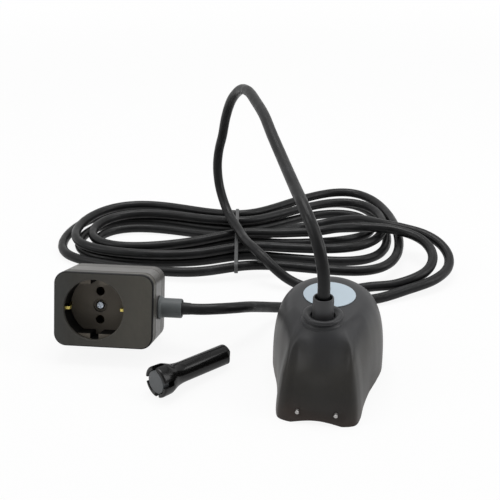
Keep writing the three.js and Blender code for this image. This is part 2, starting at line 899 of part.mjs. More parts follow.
function makeGland(group) {
  const side = boxWidth / 2;
  const bore = cordDiameter + 2 * cordFit;
  const outer = side + glandLength;
  const sleeve = rodX(side - glandRoot, outer, bossCentre, glandAxisDepth, glandDiameter, 32);
  const seat = side + gap;
  const collar = rodX(seat, seat + glandFlange, bossCentre, glandAxisDepth, glandCollarDiameter, 32);
  const gland = cut(join(sleeve, collar), rodX(0, outer + past, bossCentre, glandAxisDepth, bore, 24));
  piece(group, "box_gland", gland, finish(0x5c6266, 0.55));
  const clampEnd = side - glandRoot - gap;
  const clamp = cut(
    rodX(clampEnd - clampLength, clampEnd, bossCentre, glandAxisDepth, glandDiameter, 24),
    rodX(0, outer, bossCentre, glandAxisDepth, bore, 24),
  );
  piece(group, "box_cord_clamp", clamp, darkPlastic);
}

// ---------------------------------------------------------------- magnet key
function makeKey(group) {
  const radius = keyHeadDiameter / 2;
  const tubeRadius = keyTubeDiameter / 2;
  const body = turned(0, 0, [
    [0, 0],
    [radius - keyFrontEase[0], 0],
    [radius, keyFrontEase[1]],
    [keyShoulderDiameter / 2, keyShoulder],
    [tubeRadius + keyNeckStep, keyHeadLength],
    [tubeRadius, keyHeadLength + keyFlare],
    [tubeRadius, keyLength - keyTailEase],
    [tubeRadius - keyTailEase, keyLength],
    [0, keyLength],
  ]);
  const seat = rod(0, 0, -past, magnetThickness + gap, magnetDiameter + 2 * gap, 32);
  const bore = rod(0, 0, 0, keyLength + past, keyBore, 24);
  const slotHalf = keySlotWidth / 2;
  const slotStart = magnetDiameter / 2 - past;
  const slots = [0, 1, 2, 3].map((i) => {
    const slot = block(slotStart, radius + past, -slotHalf, slotHalf, -past, keySlotDepth);
    return slot.rotate([0, 0, keySlotTurn + (i * halfTurn) / 2]);
  });
  const tailStep = block(
    -radius,
    radius,
    -radius,
    -tubeRadius * keyTailDrop,
    keyLength - keyTailStep,
    keyLength + past,
  );
  piece(group, "key_handle", cut(body, seat, bore, ...slots, tailStep), blackRubber);
  const disc = rod(0, 0, gap / 2, magnetThickness, magnetDiameter, 32);
  piece(group, "key_magnet", disc, finish(0x676c6e, 0.5));
}

// ---------------------------------------------------------------- cord
// A measure of the hank at a number of loops out from the middle of its spiral
function atLoop([first, growth, square], out) {
  return first + growth * out + square * out ** 2;
}

// How far a point of the hank's frame is to the right of the tie, and how far along it
function acrossTie(x, y) {
  return x * Math.cos(hankTurn - tieTurn) - y * Math.sin(hankTurn - tieTurn) + tieLeft;
}

function alongTie(x, y) {
  return x * Math.sin(hankTurn - tieTurn) + y * Math.cos(hankTurn - tieTurn);
}

// A point of the hank's centre line in its own frame, by its angle in degrees
function hankPoint(angle) {
  const turn = angle * degree;
  const cos = Math.cos(turn);
  const sin = Math.sin(turn);
  const out = loopsOut - Math.abs(angle - hankClimb) / (2 * halfTurn);
  const right = (1 + cos) / 2;
  const far = (1 + sin) / 2;
  const fanLeft = lerp(atLoop(hankFan.nearLeft, out), atLoop(hankFan.farLeft, out), far);
  const fanRight = lerp(atLoop(hankFan.nearRight, out), atLoop(hankFan.farRight, out), far);
  const fan = lerp(fanLeft, fanRight, right);
  const waist = lerp(atLoop(hankWaist.near, out), atLoop(hankWaist.far, out), far);
  const reach = lerp(atLoop(hankReach.left, out), atLoop(hankReach.right, out), right);
  const climbed = THREE.MathUtils.smoothstep(angle, hankClimb - halfTurn / 2, hankClimb + halfTurn / 2);
  const shift = climbed * Math.abs(cos) * lerp(upperShift.left, upperShift.right, right);
  const x = reach * cos + shift;
  const open = Math.hypot(cos, fanEase) - fanEase;
  const bow = lerp(hankBow.left, hankBow.right, right);
  const y = sin * (waist + fan * open) + bow * cos ** 2;
  const overTie = (tieThickness + 3 * gap) * Math.exp(-((acrossTie(x, y) / waistRise) ** 2));
  return new THREE.Vector3(x, y, cordRadius + floorGap + layerStep * climbed + overTie);
}

function hankLine() {
  const line = [];
  for (let angle = hankStart; angle <= hankEnd; angle += stepAngle) line.push(hankPoint(angle));
  const first = line[0].clone().sub(line[1]).setZ(0).setLength(cordDiameter);
  const last = line.at(-1).clone().sub(line.at(-2)).setZ(0).setLength(cordDiameter);
  return [line[0].clone().add(first), ...line, line.at(-1).clone().add(last)];
}

// One unbroken six-sided tube through a list of points, its ends square to it
function formTube(line, radius, sides) {
  const points = [];
  const faces = [];
  const upright = new THREE.Vector3(0, 0, 1);
  line.forEach((p, i) => {
    const along = line[Math.min(i + 1, line.length - 1)].clone().sub(line[Math.max(i - 1, 0)]).normalize();
    const across = new THREE.Vector3().crossVectors(upright, along).normalize();
    const up = new THREE.Vector3().crossVectors(along, across);
    for (let k = 0; k < sides; k += 1) {
      const angle = (k / sides) * 2 * Math.PI;
      const place = p.clone().addScaledVector(across, radius * Math.cos(angle));
      place.addScaledVector(up, radius * Math.sin(angle));
      points.push(place.x, place.y, place.z);
    }
  });
  const ring = (i, k) => i * sides + (k % sides);
  for (let i = 0; i + 1 < line.length; i += 1) {
    for (let k = 0; k < sides; k += 1) {
      faces.push(ring(i, k), ring(i, k + 1), ring(i + 1, k + 1));
      faces.push(ring(i, k), ring(i + 1, k + 1), ring(i + 1, k));
    }
  }
  for (let k = 1; k + 1 < sides; k += 1) {
    faces.push(0, k + 1, k);
    faces.push(ring(line.length - 1, 0), ring(line.length - 1, k), ring(line.length - 1, k + 1));
  }
  const form = new THREE.BufferGeometry();
  form.setAttribute("position", new THREE.Float32BufferAttribute(points, 3));
  form.setIndex(faces);
  return solid(form);
}

// The least free distance between stretches of the hank that lie at least a third of a loop apart
function leastGap(line) {
  const fine = new THREE.CatmullRomCurve3(line, false, "centripetal").getPoints(line.length * 4);
  const apart = Math.round((4 * apartAngle) / stepAngle);
  let least = Infinity;
  for (let i = 0; i < fine.length; i += 1) {
    for (let j = i + apart; j < fine.length; j += 1) least = Math.min(least, fine[i].distanceTo(fine[j]));
  }
  return least - cordDiameter;
}

const hankPlace = new THREE.Vector3(-hankLeft, hankBehind, 0);

// Routes of the free stretches, chosen by hand
const sensorRoute = [
  [-2.1, -18.2, 82.5],
  [-4.8, -15, 93.6],
  [-9.1, -8.8, 103],
  [-16.7, 4.3, 112.2],
  [-26.2, 29.3, 116.5],
  [-37.9, 59.1, 122.9],
  [-48.3, 83.3, 130.3],
  [-56.8, 105.1, 135.8],
  [-65.9, 126.1, 138.9],
  [-75.1, 146.7, 140.5],
  [-84.5, 164.8, 136.5],
  [-93.9, 177.8, 124.6],
  [-100.1, 185.6, 108.6],
  [-104.3, 191.7, 91.3],
  [-108.7, 196.8, 75.7],
  [-110.2, 197.7, 61.2],
  [-107.7, 193.6, 45.7],
  [-99.3, 181.7, 30.6],
  [-84.2, 158.1, 22.7],
  [-76.3, 142.1, 22.7],
  [-67.2, 129.4, 22.4],
  [-58.8, 121.4, 19.6],
  [-50.4, 115.9, 14.6],
  [-39.8, 112.5, 8.2],
  [-28.2, 109.8, 4.4],
  [-12.7, 106.6, 3.9],
  [4.9, 108.6, 4.2],
  [22.4, 115.6, 5],
  [40.1, 119.8, 6.5],
  [55.4, 127.8, 9.6],
  [63.5, 137.1, 11.5],
  [67.4, 148.5, 13.8],
  [66.9, 160.6, 16.3],
  [61.3, 172.8, 18.6],
  [51.6, 181.6, 20.1],
  [35.3, 187.3, 21.2],
  [15.7, 187.1, 21.7],
  [7.3, 187.9, 20.4],
  [-9.5, 192.6, 16.3],
  [-20.4, 193, 13.4],
];
const boxRoute = [
  [-73.2, 21.7, 28.9],
  [-64.3, 27.4, 27.3],
  [-56.2, 37.2, 23.5],
  [-50.2, 49.7, 17.2],
  [-45.6, 58.2, 12.8],
  [-37.1, 67.6, 8.2],
  [-26, 75, 5.7],
  [-14.4, 81.3, 4.2],
  [-2, 86.4, 4.1],
  [12.7, 92.8, 4.2],
  [29.7, 101.1, 3.9],
  [48.9, 114, 5.7],
  [69.5, 130.2, 8],
  [79.5, 149.3, 9.4],
  [79.9, 164.3, 12.5],
  [73.4, 178, 15.9],
  [61.7, 187.7, 18.6],
  [43.2, 194.1, 20.3],
  [31.7, 198, 20.2],
  [23.7, 202.9, 19.4],
  [7.8, 216.9, 15.5],
  [-11.5, 224.2, 9.5],
  [-27.2, 222.4, 5.6],
];

function vectors(list) {
  return list.map((p) => new THREE.Vector3(...p));
}

function makeCords(group, boxFrame) {
  const look = finish(0x2a2a2c, 0.62);
  const line = hankLine();
  console.log(`least gap of the hank to itself: ${leastGap(line).toFixed(2)} mm`);
  const hank = formTube(line, cordRadius, 6);
  const hankMesh = piece(group, "cord_hank", hank, look);
  hankMesh.position.copy(hankPlace);
  hankMesh.rotation.z = hankTurn;

  const upright = new THREE.Vector3(0, 0, 1);
  const world = line.map((p) => p.clone().applyAxisAngle(upright, hankTurn).add(hankPlace));
  const lead = (end, before) => {
    const away = end.clone().sub(before).normalize();
    return [gap, cordDiameter, 2 * cordDiameter].map((reach) => end.clone().addScaledVector(away, reach));
  };
  const toStart = lead(world[0], world[1]);
  const toEnd = lead(world.at(-1), world.at(-2));

  const { x, y } = collarPlace;
  const headEnd = clampUnder - cordTail;
  const inHead = [headEnd, (headEnd + sleeveTop) / 2, sleeveTop, sleeveTop + straightOut / 2].map(
    (z) => new THREE.Vector3(x, y, z),
  );
  const sensorCord = [...inHead, ...vectors(sensorRoute), ...toEnd.reverse()];
  piece(group, "cord_sensor_run", tube(sensorCord, cordDiameter, tubeSides, tubeStep), look);

  const out = boxWidth / 2 + glandLength;
  const boxEnd = boxWidth / 2 - glandRoot - gap - clampLength - cordTail;
  const inBox = [boxEnd, (boxEnd + out) / 2, out, out + straightOut].map((reach) =>
    new THREE.Vector3(reach, bossCentre, glandAxisDepth).applyMatrix4(boxFrame),
  );
  const boxCord = [...inBox, ...vectors(boxRoute), ...toStart.reverse()];
  piece(group, "cord_box_run", tube(boxCord, cordDiameter, tubeSides, tubeStep), look);
}

// The cable tie round the hank's waist
function makeTie(group) {
  const line = hankLine();
  const run = new THREE.CurvePath();
  line.slice(1).forEach((p, i) => run.add(new THREE.LineCurve3(line[i], p)));
  const held = run.getSpacedPoints(runSamples).filter((p) => Math.abs(acrossTie(p.x, p.y)) < tieWidth);
  const room = cordRadius + tieClearance;
  const x0 = Math.min(...held.map((p) => alongTie(p.x, p.y))) - room;
  const x1 = Math.max(...held.map((p) => alongTie(p.x, p.y))) + room;
  const z0 = floorGap + tieThickness;
  const z1 = Math.max(...held.map((p) => p.z)) + room;
  const t = tieThickness;
  const band = roundedOutline(x0 - t, x1 + t, z0 - t, z1 + t, room + t);
  band.holes.push(roundedOutline(x0, x1, z0, z1, room));
  const body = new THREE.ExtrudeGeometry(band, { depth: tieWidth, bevelEnabled: false, curveSegments: 4 });
  body.translate(0, 0, -tieWidth / 2);
  const [headX, headY, headZ] = tieHeadSize;
  const head = new THREE.BoxGeometry(headY, headZ, headX);
  head.translate(x1 - room - headY / 2, z1 + t + headZ / 2 - gap, 0);
  const tie = join(solid(body), solid(head));
  const mesh = piece(group, "cable_tie", tie, finish(0x1d1d1f, 0.45));
  mesh.geometry.rotateY(Math.PI / 2);
  mesh.geometry.rotateX(Math.PI / 2);
  mesh.geometry.translate(-tieLeft, 0, 0);
  mesh.position.copy(hankPlace);
  mesh.rotation.z = tieTurn;
}

// ---------------------------------------------------------------- assembly
const product = new THREE.Group();
makeHead(product);
makeCordEntry(product);
makeBoard(product);

// The box leans back on its plug, so that its back edge and the plug's rim touch the floor
const box = new THREE.Group();
box.position.set(-boxLeft, boxBehind, 0);
box.rotation.order = "ZXY";
box.rotation.z = boxTurn;
box.rotation.x = Math.PI / 2 - boxLean;
product.add(box);
makeFrontCover(box);
makeInsert(box);
makeEarthClip(box, "earth_clip_left", -1);
makeEarthClip(box, "earth_clip_right", 1);
makeContacts(box);
makeMiddleShell(box);
makeRearCover(box);
makePlug(box);
makeScrews(box);
makeGland(box);

// The key lies on the shoulder of its head and on its tail
const key = new THREE.Group();
const keyDip = Math.atan2((keyShoulderDiameter - keyTubeDiameter) / 2, keyLength - keyShoulder);
const keyRise = (keyShoulderDiameter / 2) * Math.cos(keyDip) + keyShoulder * Math.sin(keyDip) + floorGap;
key.position.set(-keyLeft, -keyAhead, keyRise);
key.rotation.order = "ZYX";
key.rotation.z = keyTurn;
key.rotation.y = Math.PI / 2 + keyDip;
product.add(key);
makeKey(key);

product.updateMatrixWorld(true);
makeCords(product, box.matrixWorld);
makeTie(product);

export default product;
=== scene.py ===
import math
import bmesh
import bpy
from mathutils import Matrix, Vector


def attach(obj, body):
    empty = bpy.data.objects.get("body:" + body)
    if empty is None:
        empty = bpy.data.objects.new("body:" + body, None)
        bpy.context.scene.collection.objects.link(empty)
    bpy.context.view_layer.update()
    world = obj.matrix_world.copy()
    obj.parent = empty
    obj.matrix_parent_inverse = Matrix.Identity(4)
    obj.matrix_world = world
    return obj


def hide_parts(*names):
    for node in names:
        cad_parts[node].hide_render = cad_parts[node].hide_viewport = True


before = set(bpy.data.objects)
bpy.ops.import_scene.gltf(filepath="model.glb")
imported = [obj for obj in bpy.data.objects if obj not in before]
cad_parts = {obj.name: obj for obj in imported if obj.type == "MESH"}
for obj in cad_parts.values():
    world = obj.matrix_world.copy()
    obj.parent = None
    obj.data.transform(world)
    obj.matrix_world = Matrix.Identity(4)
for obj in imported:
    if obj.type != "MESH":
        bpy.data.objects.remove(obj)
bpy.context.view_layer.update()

# A level-sensor switch for a sump pump: sensor head, cord in a hank, plug-through socket box and
# loose magnet key, in the frame of the CAD. Camera, floor and lamps are in metres. Shapes are
# worked out in millimetres, and each is scaled by MM when it is finished.

MM = 0.001
UNIT = "unit"
KEY_BODY = "magnet_key"

# ---------------------------------------------------------------- camera
CAMERA_TURN = 10
CAMERA_DIP = 25.5
CAMERA_LENS = 63.36

camera_data = bpy.data.cameras.new("camera")
camera = bpy.data.objects.new("camera", camera_data)
bpy.context.scene.collection.objects.link(camera)
camera.location = (0.0349, -0.471, 0.312)
camera.rotation_euler = (math.radians(90 - CAMERA_DIP), 0, math.radians(CAMERA_TURN))
camera_data.sensor_width = 36
camera_data.lens = CAMERA_LENS
bpy.context.scene.camera = camera

# ---------------------------------------------------------------- shared sizes
CORD = 7.5
CORD_RADIUS = CORD / 2
FLOOR_GAP = 0.1
GAP = 0.3
COLLAR = (-1.2, -19.0)
AT_COLLAR = Matrix.Translation((*COLLAR, 0))
SLEEVE_TOP = 66.4
BOX_WIDTH = 64.6
BOX_HEIGHT = 48.4
BOX_DEPTH = 40
MID_Y = BOX_HEIGHT / 2
GLAND_DEPTH = 20
PLUG_RADIUS = 18.3
PLUG_REACH = 17.5

# The box leans back on its plug's rim. In its own frame x runs across, y up and z to its face.
BOX_LEAN = math.atan2(MID_Y - PLUG_RADIUS, PLUG_REACH)
BOX_FRAME = (
    Matrix.Translation((-144.7, 24.9, 0))
    @ Matrix.Rotation(math.radians(4.4), 4, "Z")
    @ Matrix.Rotation(math.pi / 2 - BOX_LEAN, 4, "X")
)

# ---------------------------------------------------------------- cord
# Its lower end in the head, and its straight run in the box
HEAD_END = 29.9
BOX_CORD_X = (20, 34, 47.8, 59.8)
CORD_STEP = 2.5

# The hank is one line by its angle in degrees, in two layers with a climb between them half way.
HANK_PLACE = Vector((-84.6, 185.4, 0))
HANK_TURN = math.radians(17.9)
HANK_START = 75
HANK_CLIMB = 990
HANK_END = 1725
HANK_TURNS_OUT = 2.5
LAYER_RISE = 8.05
UPPER_REACH = {"left": 4.5, "right": 2.1}
BOW = {"left": 10.9, "right": 13.9}
OPENING_EASE = 0.13

# Each of these is (a, b, c), for a + b * out + c * out**2, where out counts the turns outward.
REACH = {"left": (119.4, 14.3, -0.2), "right": (100.2, 15.7, -2.2)}
FAN = {
    "near_left": (59.4, -35.6, -0.2),
    "far_left": (71.5, 14, 4.9),
    "near_right": (-24.6, 71.7, 0),
    "far_right": (41.8, 24.8, -0.2),
}
WAIST = {"near": (-3.7, 25.5, 0), "far": (0.8, 14.3, 0)}

TIE_TURN = math.radians(10)
TIE_LEFT = 7
TIE_WIDTH = 3.6
TIE_THICKNESS = 1.1
TIE_HUMP = 24

# The free stretches, from the head and from the box to the hank
SENSOR_ROUTE = [
    [-2.1, -18.2, 82.5], [-4.8, -15, 93.6], [-9.1, -8.8, 103], [-16.7, 4.3, 112.2],
    [-26.2, 29.3, 116.5], [-37.9, 59.1, 122.9], [-48.3, 83.3, 130.3], [-56.8, 105.1, 135.8],
    [-65.9, 126.1, 138.9], [-75.1, 146.7, 140.5], [-84.5, 164.8, 136.5], [-93.9, 177.8, 124.6],
    [-100.1, 185.6, 108.6], [-104.3, 191.7, 91.3], [-108.7, 196.8, 75.7], [-110.2, 197.7, 61.2],
    [-107.7, 193.6, 45.7], [-99.3, 181.7, 30.6], [-84.2, 158.1, 22.7], [-76.3, 142.1, 22.7],
    [-67.2, 129.4, 22.4], [-58.8, 121.4, 19.6], [-50.4, 115.9, 14.6], [-39.8, 112.5, 8.2],
    [-28.2, 109.8, 4.4], [-12.7, 106.6, 3.9], [4.9, 108.6, 4.2], [22.4, 115.6, 5],
    [40.1, 119.8, 6.5], [55.4, 127.8, 9.6], [63.5, 137.1, 11.5], [67.4, 148.5, 13.8],
    [66.9, 160.6, 16.3], [61.3, 172.8, 18.6], [51.6, 181.6, 20.1], [35.3, 187.3, 21.2],
    [15.7, 187.1, 21.7], [7.3, 187.9, 20.4], [-9.5, 192.6, 16.3], [-20.4, 193, 13.4],
]
BOX_ROUTE = [
    [-73.2, 21.7, 28.9], [-64.3, 27.4, 27.3], [-56.2, 37.2, 23.5], [-50.2, 49.7, 17.2],
    [-45.6, 58.2, 12.8], [-37.1, 67.6, 8.2], [-26, 75, 5.7], [-14.4, 81.3, 4.2], [-2, 86.4, 4.1],
    [12.7, 92.8, 4.2], [29.7, 101.1, 3.9], [48.9, 114, 5.7], [69.5, 130.2, 8], [79.5, 149.3, 9.4],
    [79.9, 164.3, 12.5], [73.4, 178, 15.9], [61.7, 187.7, 18.6], [43.2, 194.1, 20.3],
    [31.7, 198, 20.2], [23.7, 202.9, 19.4], [7.8, 216.9, 15.5], [-11.5, 224.2, 9.5],
    [-27.2, 222.4, 5.6],
]


def lerp(a, b, share):
    return a + (b - a) * share


def smoothstep(x, low, high):
    """0 below low, 1 above high and a smooth rise between them."""
    t = min(1, max(0, (x - low) / (high - low)))
    return t * t * (3 - 2 * t)


def at_loop(measure, out):
    first, growth, square = measure
    return first + growth * out + square * out**2


def across_tie(x, y):
    """How far a point of the hank's own frame lies from the tie's plane."""
    turn = HANK_TURN - TIE_TURN
    return x * math.cos(turn) - y * math.sin(turn) + TIE_LEFT


def along_tie(x, y):
    """How far back a point of the hank's own frame lies, along the tie."""
    turn = HANK_TURN - TIE_TURN
    return x * math.sin(turn) + y * math.cos(turn)


def hank_point(angle):
    """A point of the hank's centre line in its own frame, by its angle in degrees."""
    cos = math.cos(math.radians(angle))
    sin = math.sin(math.radians(angle))
    out = HANK_TURNS_OUT - abs(angle - HANK_CLIMB) / 360
    right = (1 + cos) / 2
    far = (1 + sin) / 2
    fan_left = lerp(at_loop(FAN["near_left"], out), at_loop(FAN["far_left"], out), far)
    fan_right = lerp(at_loop(FAN["near_right"], out), at_loop(FAN["far_right"], out), far)
    fan = lerp(fan_left, fan_right, right)
    waist = lerp(at_loop(WAIST["near"], out), at_loop(WAIST["far"], out), far)
    reach = lerp(at_loop(REACH["left"], out), at_loop(REACH["right"], out), right)
    climbed = smoothstep(angle, HANK_CLIMB - 90, HANK_CLIMB + 90)
    x = reach * cos + climbed * abs(cos) * lerp(UPPER_REACH["left"], UPPER_REACH["right"], right)
    opening = math.hypot(cos, OPENING_EASE) - OPENING_EASE
    y = sin * (waist + fan * opening) + lerp(BOW["left"], BOW["right"], right) * cos**2
    over_tie = (TIE_THICKNESS + 3 * GAP) * math.exp(-((across_tie(x, y) / TIE_HUMP) ** 2))
    return Vector((x, y, CORD_RADIUS + FLOOR_GAP + LAYER_RISE * climbed + over_tie))


def hank_line(step):
    """The hank's centre line where it lies on the floor, a point every so many degrees."""
    turn = Matrix.Rotation(HANK_TURN, 4, "Z")
    count = round((HANK_END - HANK_START) / step)
    return [turn @ hank_point(HANK_START + step * i) + HANK_PLACE for i in range(count + 1)]


def run_in(end, before):
    """Points that carry a free stretch straight on from one end of the hank."""
    away = (end - before).to_3d()
    away.z = 0
    away.normalize()
    return [end + away * reach for reach in (CORD, 2 * CORD, 3 * CORD)]


def centripetal(points, spacing):
    """Points on the centripetal Catmull-Rom curve through these, about one spacing apart."""
    ends = [2 * points[0] - points[1], *points, 2 * points[-1] - points[-2]]
    out = []
    for i in range(1, len(ends) - 2):
        p0, p1, p2, p3 = ends[i - 1 : i + 3]
        t1 = (p1 - p0).length ** 0.5
        t2 = t1 + (p2 - p1).length ** 0.5
        t3 = t2 + (p3 - p2).length ** 0.5
        count = max(1, round((p2 - p1).length / spacing))
        for k in range(count):
            t = t1 + (t2 - t1) * k / count
            a1 = p0 * ((t1 - t) / t1) + p1 * (t / t1)
            a2 = p1 * ((t2 - t) / (t2 - t1)) + p2 * ((t - t1) / (t2 - t1))
            a3 = p2 * ((t3 - t) / (t3 - t2)) + p3 * ((t - t2) / (t3 - t2))
            b1 = a1 * ((t2 - t) / t2) + a2 * (t / t2)
            b2 = a2 * ((t3 - t) / (t3 - t1)) + a3 * ((t - t1) / (t3 - t1))
            out.append(b1 * ((t2 - t) / (t2 - t1)) + b2 * ((t - t1) / (t2 - t1)))
    out.append(points[-1])
    return out


def cord_points():
    """Points of the whole cord's centre line, from the clamp in the head to that in the box."""
    heights = (HEAD_END, (HEAD_END + SLEEVE_TOP) / 2, SLEEVE_TOP, SLEEVE_TOP + 6)
    in_head = [Vector((*COLLAR, z)) for z in heights]
    hank = hank_line(5)
    in_box = [BOX_FRAME @ Vector((x, MID_Y, GLAND_DEPTH)) for x in BOX_CORD_X]
    return [
        *in_head,
        *[Vector(p) for p in SENSOR_ROUTE],
        *run_in(hank[-1], hank[-3])[::-1],
        *hank[::-1],
        *run_in(hank[0], hank[2]),
        *[Vector(p) for p in reversed(BOX_ROUTE)],
        *in_box[::-1],
    ]


def make_cord():
    """The cord as one curve, with its centre line in mm and its length in metres."""
    line = centripetal(cord_points(), CORD_STEP)
    curve = bpy.data.curves.new("cord", "CURVE")
    curve.dimensions = "3D"
    spline = curve.splines.new("POLY")
    spline.points.add(len(line) - 1)
    for point, place in zip(spline.points, line):
        point.co = (*(place * MM), 1)
    spline.use_smooth = True
    curve.bevel_depth = CORD_RADIUS * MM
    curve.bevel_resolution = 6
    curve.use_fill_caps = True
    cord = bpy.data.objects.new("cord", curve)
    bpy.context.scene.collection.objects.link(cord)
    length = sum((b - a).length for a, b in zip(line, line[1:])) * MM
    return cord, line, length


# ---------------------------------------------------------------- materials
GRAIN_DEPTH = 0.0001
METAL_MARKS = 420
# Scale of the painted reflection streaks, stretched so that they run up and down
REFLECTION_STREAK_SCALE = (420, 420, 46)
WHITE = (1, 1, 1, 1)


class Graph:
    """The node tree of a material or of the world, with short calls for what is shared here."""

    def __init__(self, owner):
        owner.use_nodes = True
        self.owner = owner
        self.tree = owner.node_tree

    def fill(self, node, inputs, out=0):
        """Sets or links a node's inputs, by name or number, and gives one of its outputs."""
        for name, value in inputs.items():
            if isinstance(value, bpy.types.NodeSocket):
                self.tree.links.new(value, node.inputs[name])
            else:
                node.inputs[name].default_value = value
        return node.outputs[out]

    def node(self, kind, inputs, out=0):
        return self.fill(self.tree.nodes.new(kind), inputs, out)

    def math(self, operation, *values):
        node = self.tree.nodes.new("ShaderNodeMath")
        node.operation = operation
        return self.fill(node, dict(enumerate(values)))

    def coordinate(self, kind="Object"):
        return self.node("ShaderNodeTexCoord", {}, kind)

    def axis(self, name, kind="Object"):
        return self.node("ShaderNodeSeparateXYZ", {0: self.coordinate(kind)}, name)

    def noise(self, scale, detail=3.0, rough=0.5, vector=None):
        inputs = {"Scale": scale, "Detail": detail, "Roughness": rough}
        inputs["Vector"] = vector or self.coordinate()
        return self.node("ShaderNodeTexNoise", inputs, "Fac")

    def ramp(self, value, stops):
        node = self.tree.nodes.new("ShaderNodeValToRGB")
        while len(node.color_ramp.elements) < len(stops):
            node.color_ramp.elements.new(0.5)
        for element, (place, colour) in zip(node.color_ramp.elements, stops):
            element.position = place
            element.color = (*colour, 1)
        return self.fill(node, {"Fac": value}, "Color")

    def span(self, value, low, high, start=0.0, stop=1.0, smooth=False):
        """A value that goes from start to stop, as one that goes from low to high."""
        node = self.tree.nodes.new("ShaderNodeMapRange")
        if smooth:
            node.interpolation_type = "SMOOTHSTEP"
        limits = {"From Min": start, "From Max": stop, "To Min": low, "To Max": high}
        return self.fill(node, {"Value": value, **limits}, "Result")

    def mix(self, factor, first, second):
        """A colour between two. Of the node's sockets, 6 and 7 take colours and 2 gives one."""
        node = self.tree.nodes.new("ShaderNodeMix")
        node.data_type = "RGBA"
        first, second = [(*c, 1) if isinstance(c, tuple) else c for c in (first, second)]
        return self.fill(node, {0: factor, 6: first, 7: second}, 2)

    def bump(self, height, strength, distance, normal=None):
        inputs = {"Height": height, "Strength": strength, "Distance": distance}
        if normal:
            inputs["Normal"] = normal
        return self.node("ShaderNodeBump", inputs, "Normal")

    def worn_edges(self):
        """1 along the edges that stand out, 0 elsewhere."""
        pointiness = self.node("ShaderNodeNewGeometry", {}, "Pointiness")
        return self.ramp(pointiness, [(0.53, (0, 0, 0)), (0.6, (1, 1, 1))])

    def ray(self, name):
        return self.node("ShaderNodeLightPath", {}, name)

    def seen_share(self, share):
        """share for rays from the camera, off gloss or through glass, else 0."""
        total = self.ray("Is Camera Ray")
        for name in ("Is Glossy Ray", "Is Transmission Ray"):
            total = self.math("MAXIMUM", total, self.ray(name))
        return self.math("MULTIPLY", total, share)

    def background(self, strength):
        return self.node("ShaderNodeBackground", {"Color": WHITE, "Strength": strength})

    def shaders(self, share, first, second):
        return self.node("ShaderNodeMixShader", {"Fac": share, 1: first, 2: second})

    def surface(self, output_kind, shader):
        self.tree.links.new(shader, self.tree.nodes.new(output_kind).inputs["Surface"])

    def finish(self, inputs):
        """Sets the inputs of the material's shader, and gives the material."""
        self.fill(self.tree.nodes["Principled BSDF"], inputs)
        return self.owner


def shade(colour, share):
    """A colour made darker or lighter."""
    return tuple(min(1, c * share) for c in colour)


def moulded(
    name, colour, rough, grain=900, relief=0.08, wear=0.12, specular=0.35, spread=0.12,
    painted_reflection_streaks=0.0, tint_and_painted_light=None,
):
    """Moulded plastic: a fine spark texture, slow drifts of colour and gloss, rubbed edges.

    grain is the texture's scale, relief its depth, wear how pale the edges are rubbed and spread
    how far the colour drifts. The last but one argument sets how much painted reflections show, as
    lighter streaks that run up and down. The last is (axis, start, stop, stops), the colours that
    it goes through along an axis, in metres; they paint light and shade, besides any tint."""
    g = Graph(bpy.data.materials.new(name))
    drift = g.noise(38)
    base = g.ramp(drift, [(0.3, shade(colour, 1 - spread)), (0.7, shade(colour, 1 + spread))])
    # Painted light and shade: colours that change along an axis, lighter or darker where light
    # falls, with any tint.
    if tint_and_painted_light:
        axis, start, stop, stops = tint_and_painted_light
        along = g.span(g.axis(axis), -0.15, 0.85, start, stop)
        tint_and_light_along = g.ramp(g.math("MULTIPLY_ADD", g.noise(46, 2), 0.3, along), stops)
        base = g.mix(g.span(drift, 0, 0.25, 0.2, 0.8), tint_and_light_along, shade(colour, 0.7))
    # Painted reflections: lighter streaks that run up and down the surface.
    if painted_reflection_streaks:
        streak_space = g.node("ShaderNodeMapping", {"Vector": g.coordinate(), "Scale": REFLECTION_STREAK_SCALE})
        marks = g.noise(1, 3, 0.6, streak_space)
        base = g.mix(g.span(marks, 0, painted_reflection_streaks, 0.3, 0.8), base, shade(colour, 1.6))
    fine = g.bump(g.noise(grain * 1.6, 2), relief, GRAIN_DEPTH)
    cells = g.node("ShaderNodeTexVoronoi", {"Scale": grain, "Vector": g.coordinate()}, "Distance")
    return g.finish({
        "Base Color": g.mix(g.span(g.worn_edges(), 0, wear), base, shade(colour, 1.9)),
        "Roughness": g.span(g.noise(16, 4, 0.6), rough - 0.07, rough + 0.07),
        "Normal": g.bump(cells, relief * 0.7, GRAIN_DEPTH, fine),
        "Specular IOR Level": specular,
    })


def metal(name, colour, rough, metallic=1.0):
    """Drawn or plated metal: fine marks, dull patches and a little tarnish."""
    g = Graph(bpy.data.materials.new(name))
    stops = [(0.25, shade(colour, 0.72)), (0.6, colour), (0.85, shade(colour, 1.08))]
    return g.finish({
        "Base Color": g.ramp(g.noise(90, 4, 0.6), stops),
        "Roughness": g.span(g.noise(METAL_MARKS), rough - 0.08, rough + 0.14),
        "Normal": g.bump(g.noise(METAL_MARKS * 3, 2), 0.12, GRAIN_DEPTH / 2),
        "Metallic": metallic,
    })


def cord_rubber():
    """A matte sheath: fine pores, a faint drift of gloss and dusty patches."""
    g = Graph(bpy.data.materials.new("cord_sheath"))
    stops = [
        (0.34, (0.0035, 0.0035, 0.0037)),
        (0.58, (0.008, 0.0083, 0.0088)),
        (0.8, (0.02, 0.021, 0.0225)),
    ]
    pores = g.bump(g.noise(1900, 2), 0.22, GRAIN_DEPTH)
    return g.finish({
        "Base Color": g.ramp(g.noise(60, 4, 0.6), stops),
        "Roughness": g.span(g.noise(170), 0.26, 0.5, 0.25, 0.75),
        "Normal": g.bump(g.noise(330), 0.2, 3 * GRAIN_DEPTH, pores),
        "Specular IOR Level": 0.25,
    })


def glass_look(name, colour):
    """Tinted glass, a little uneven."""
    g = Graph(bpy.data.materials.new(name))
    return g.finish({
        "Base Color": g.ramp(g.noise(200, 2), [(0.3, shade(colour, 0.9)), (0.7, colour)]),
        "Roughness": g.span(g.noise(500, 2), 0.04, 0.12),
        "Transmission Weight": 0.8,
    })
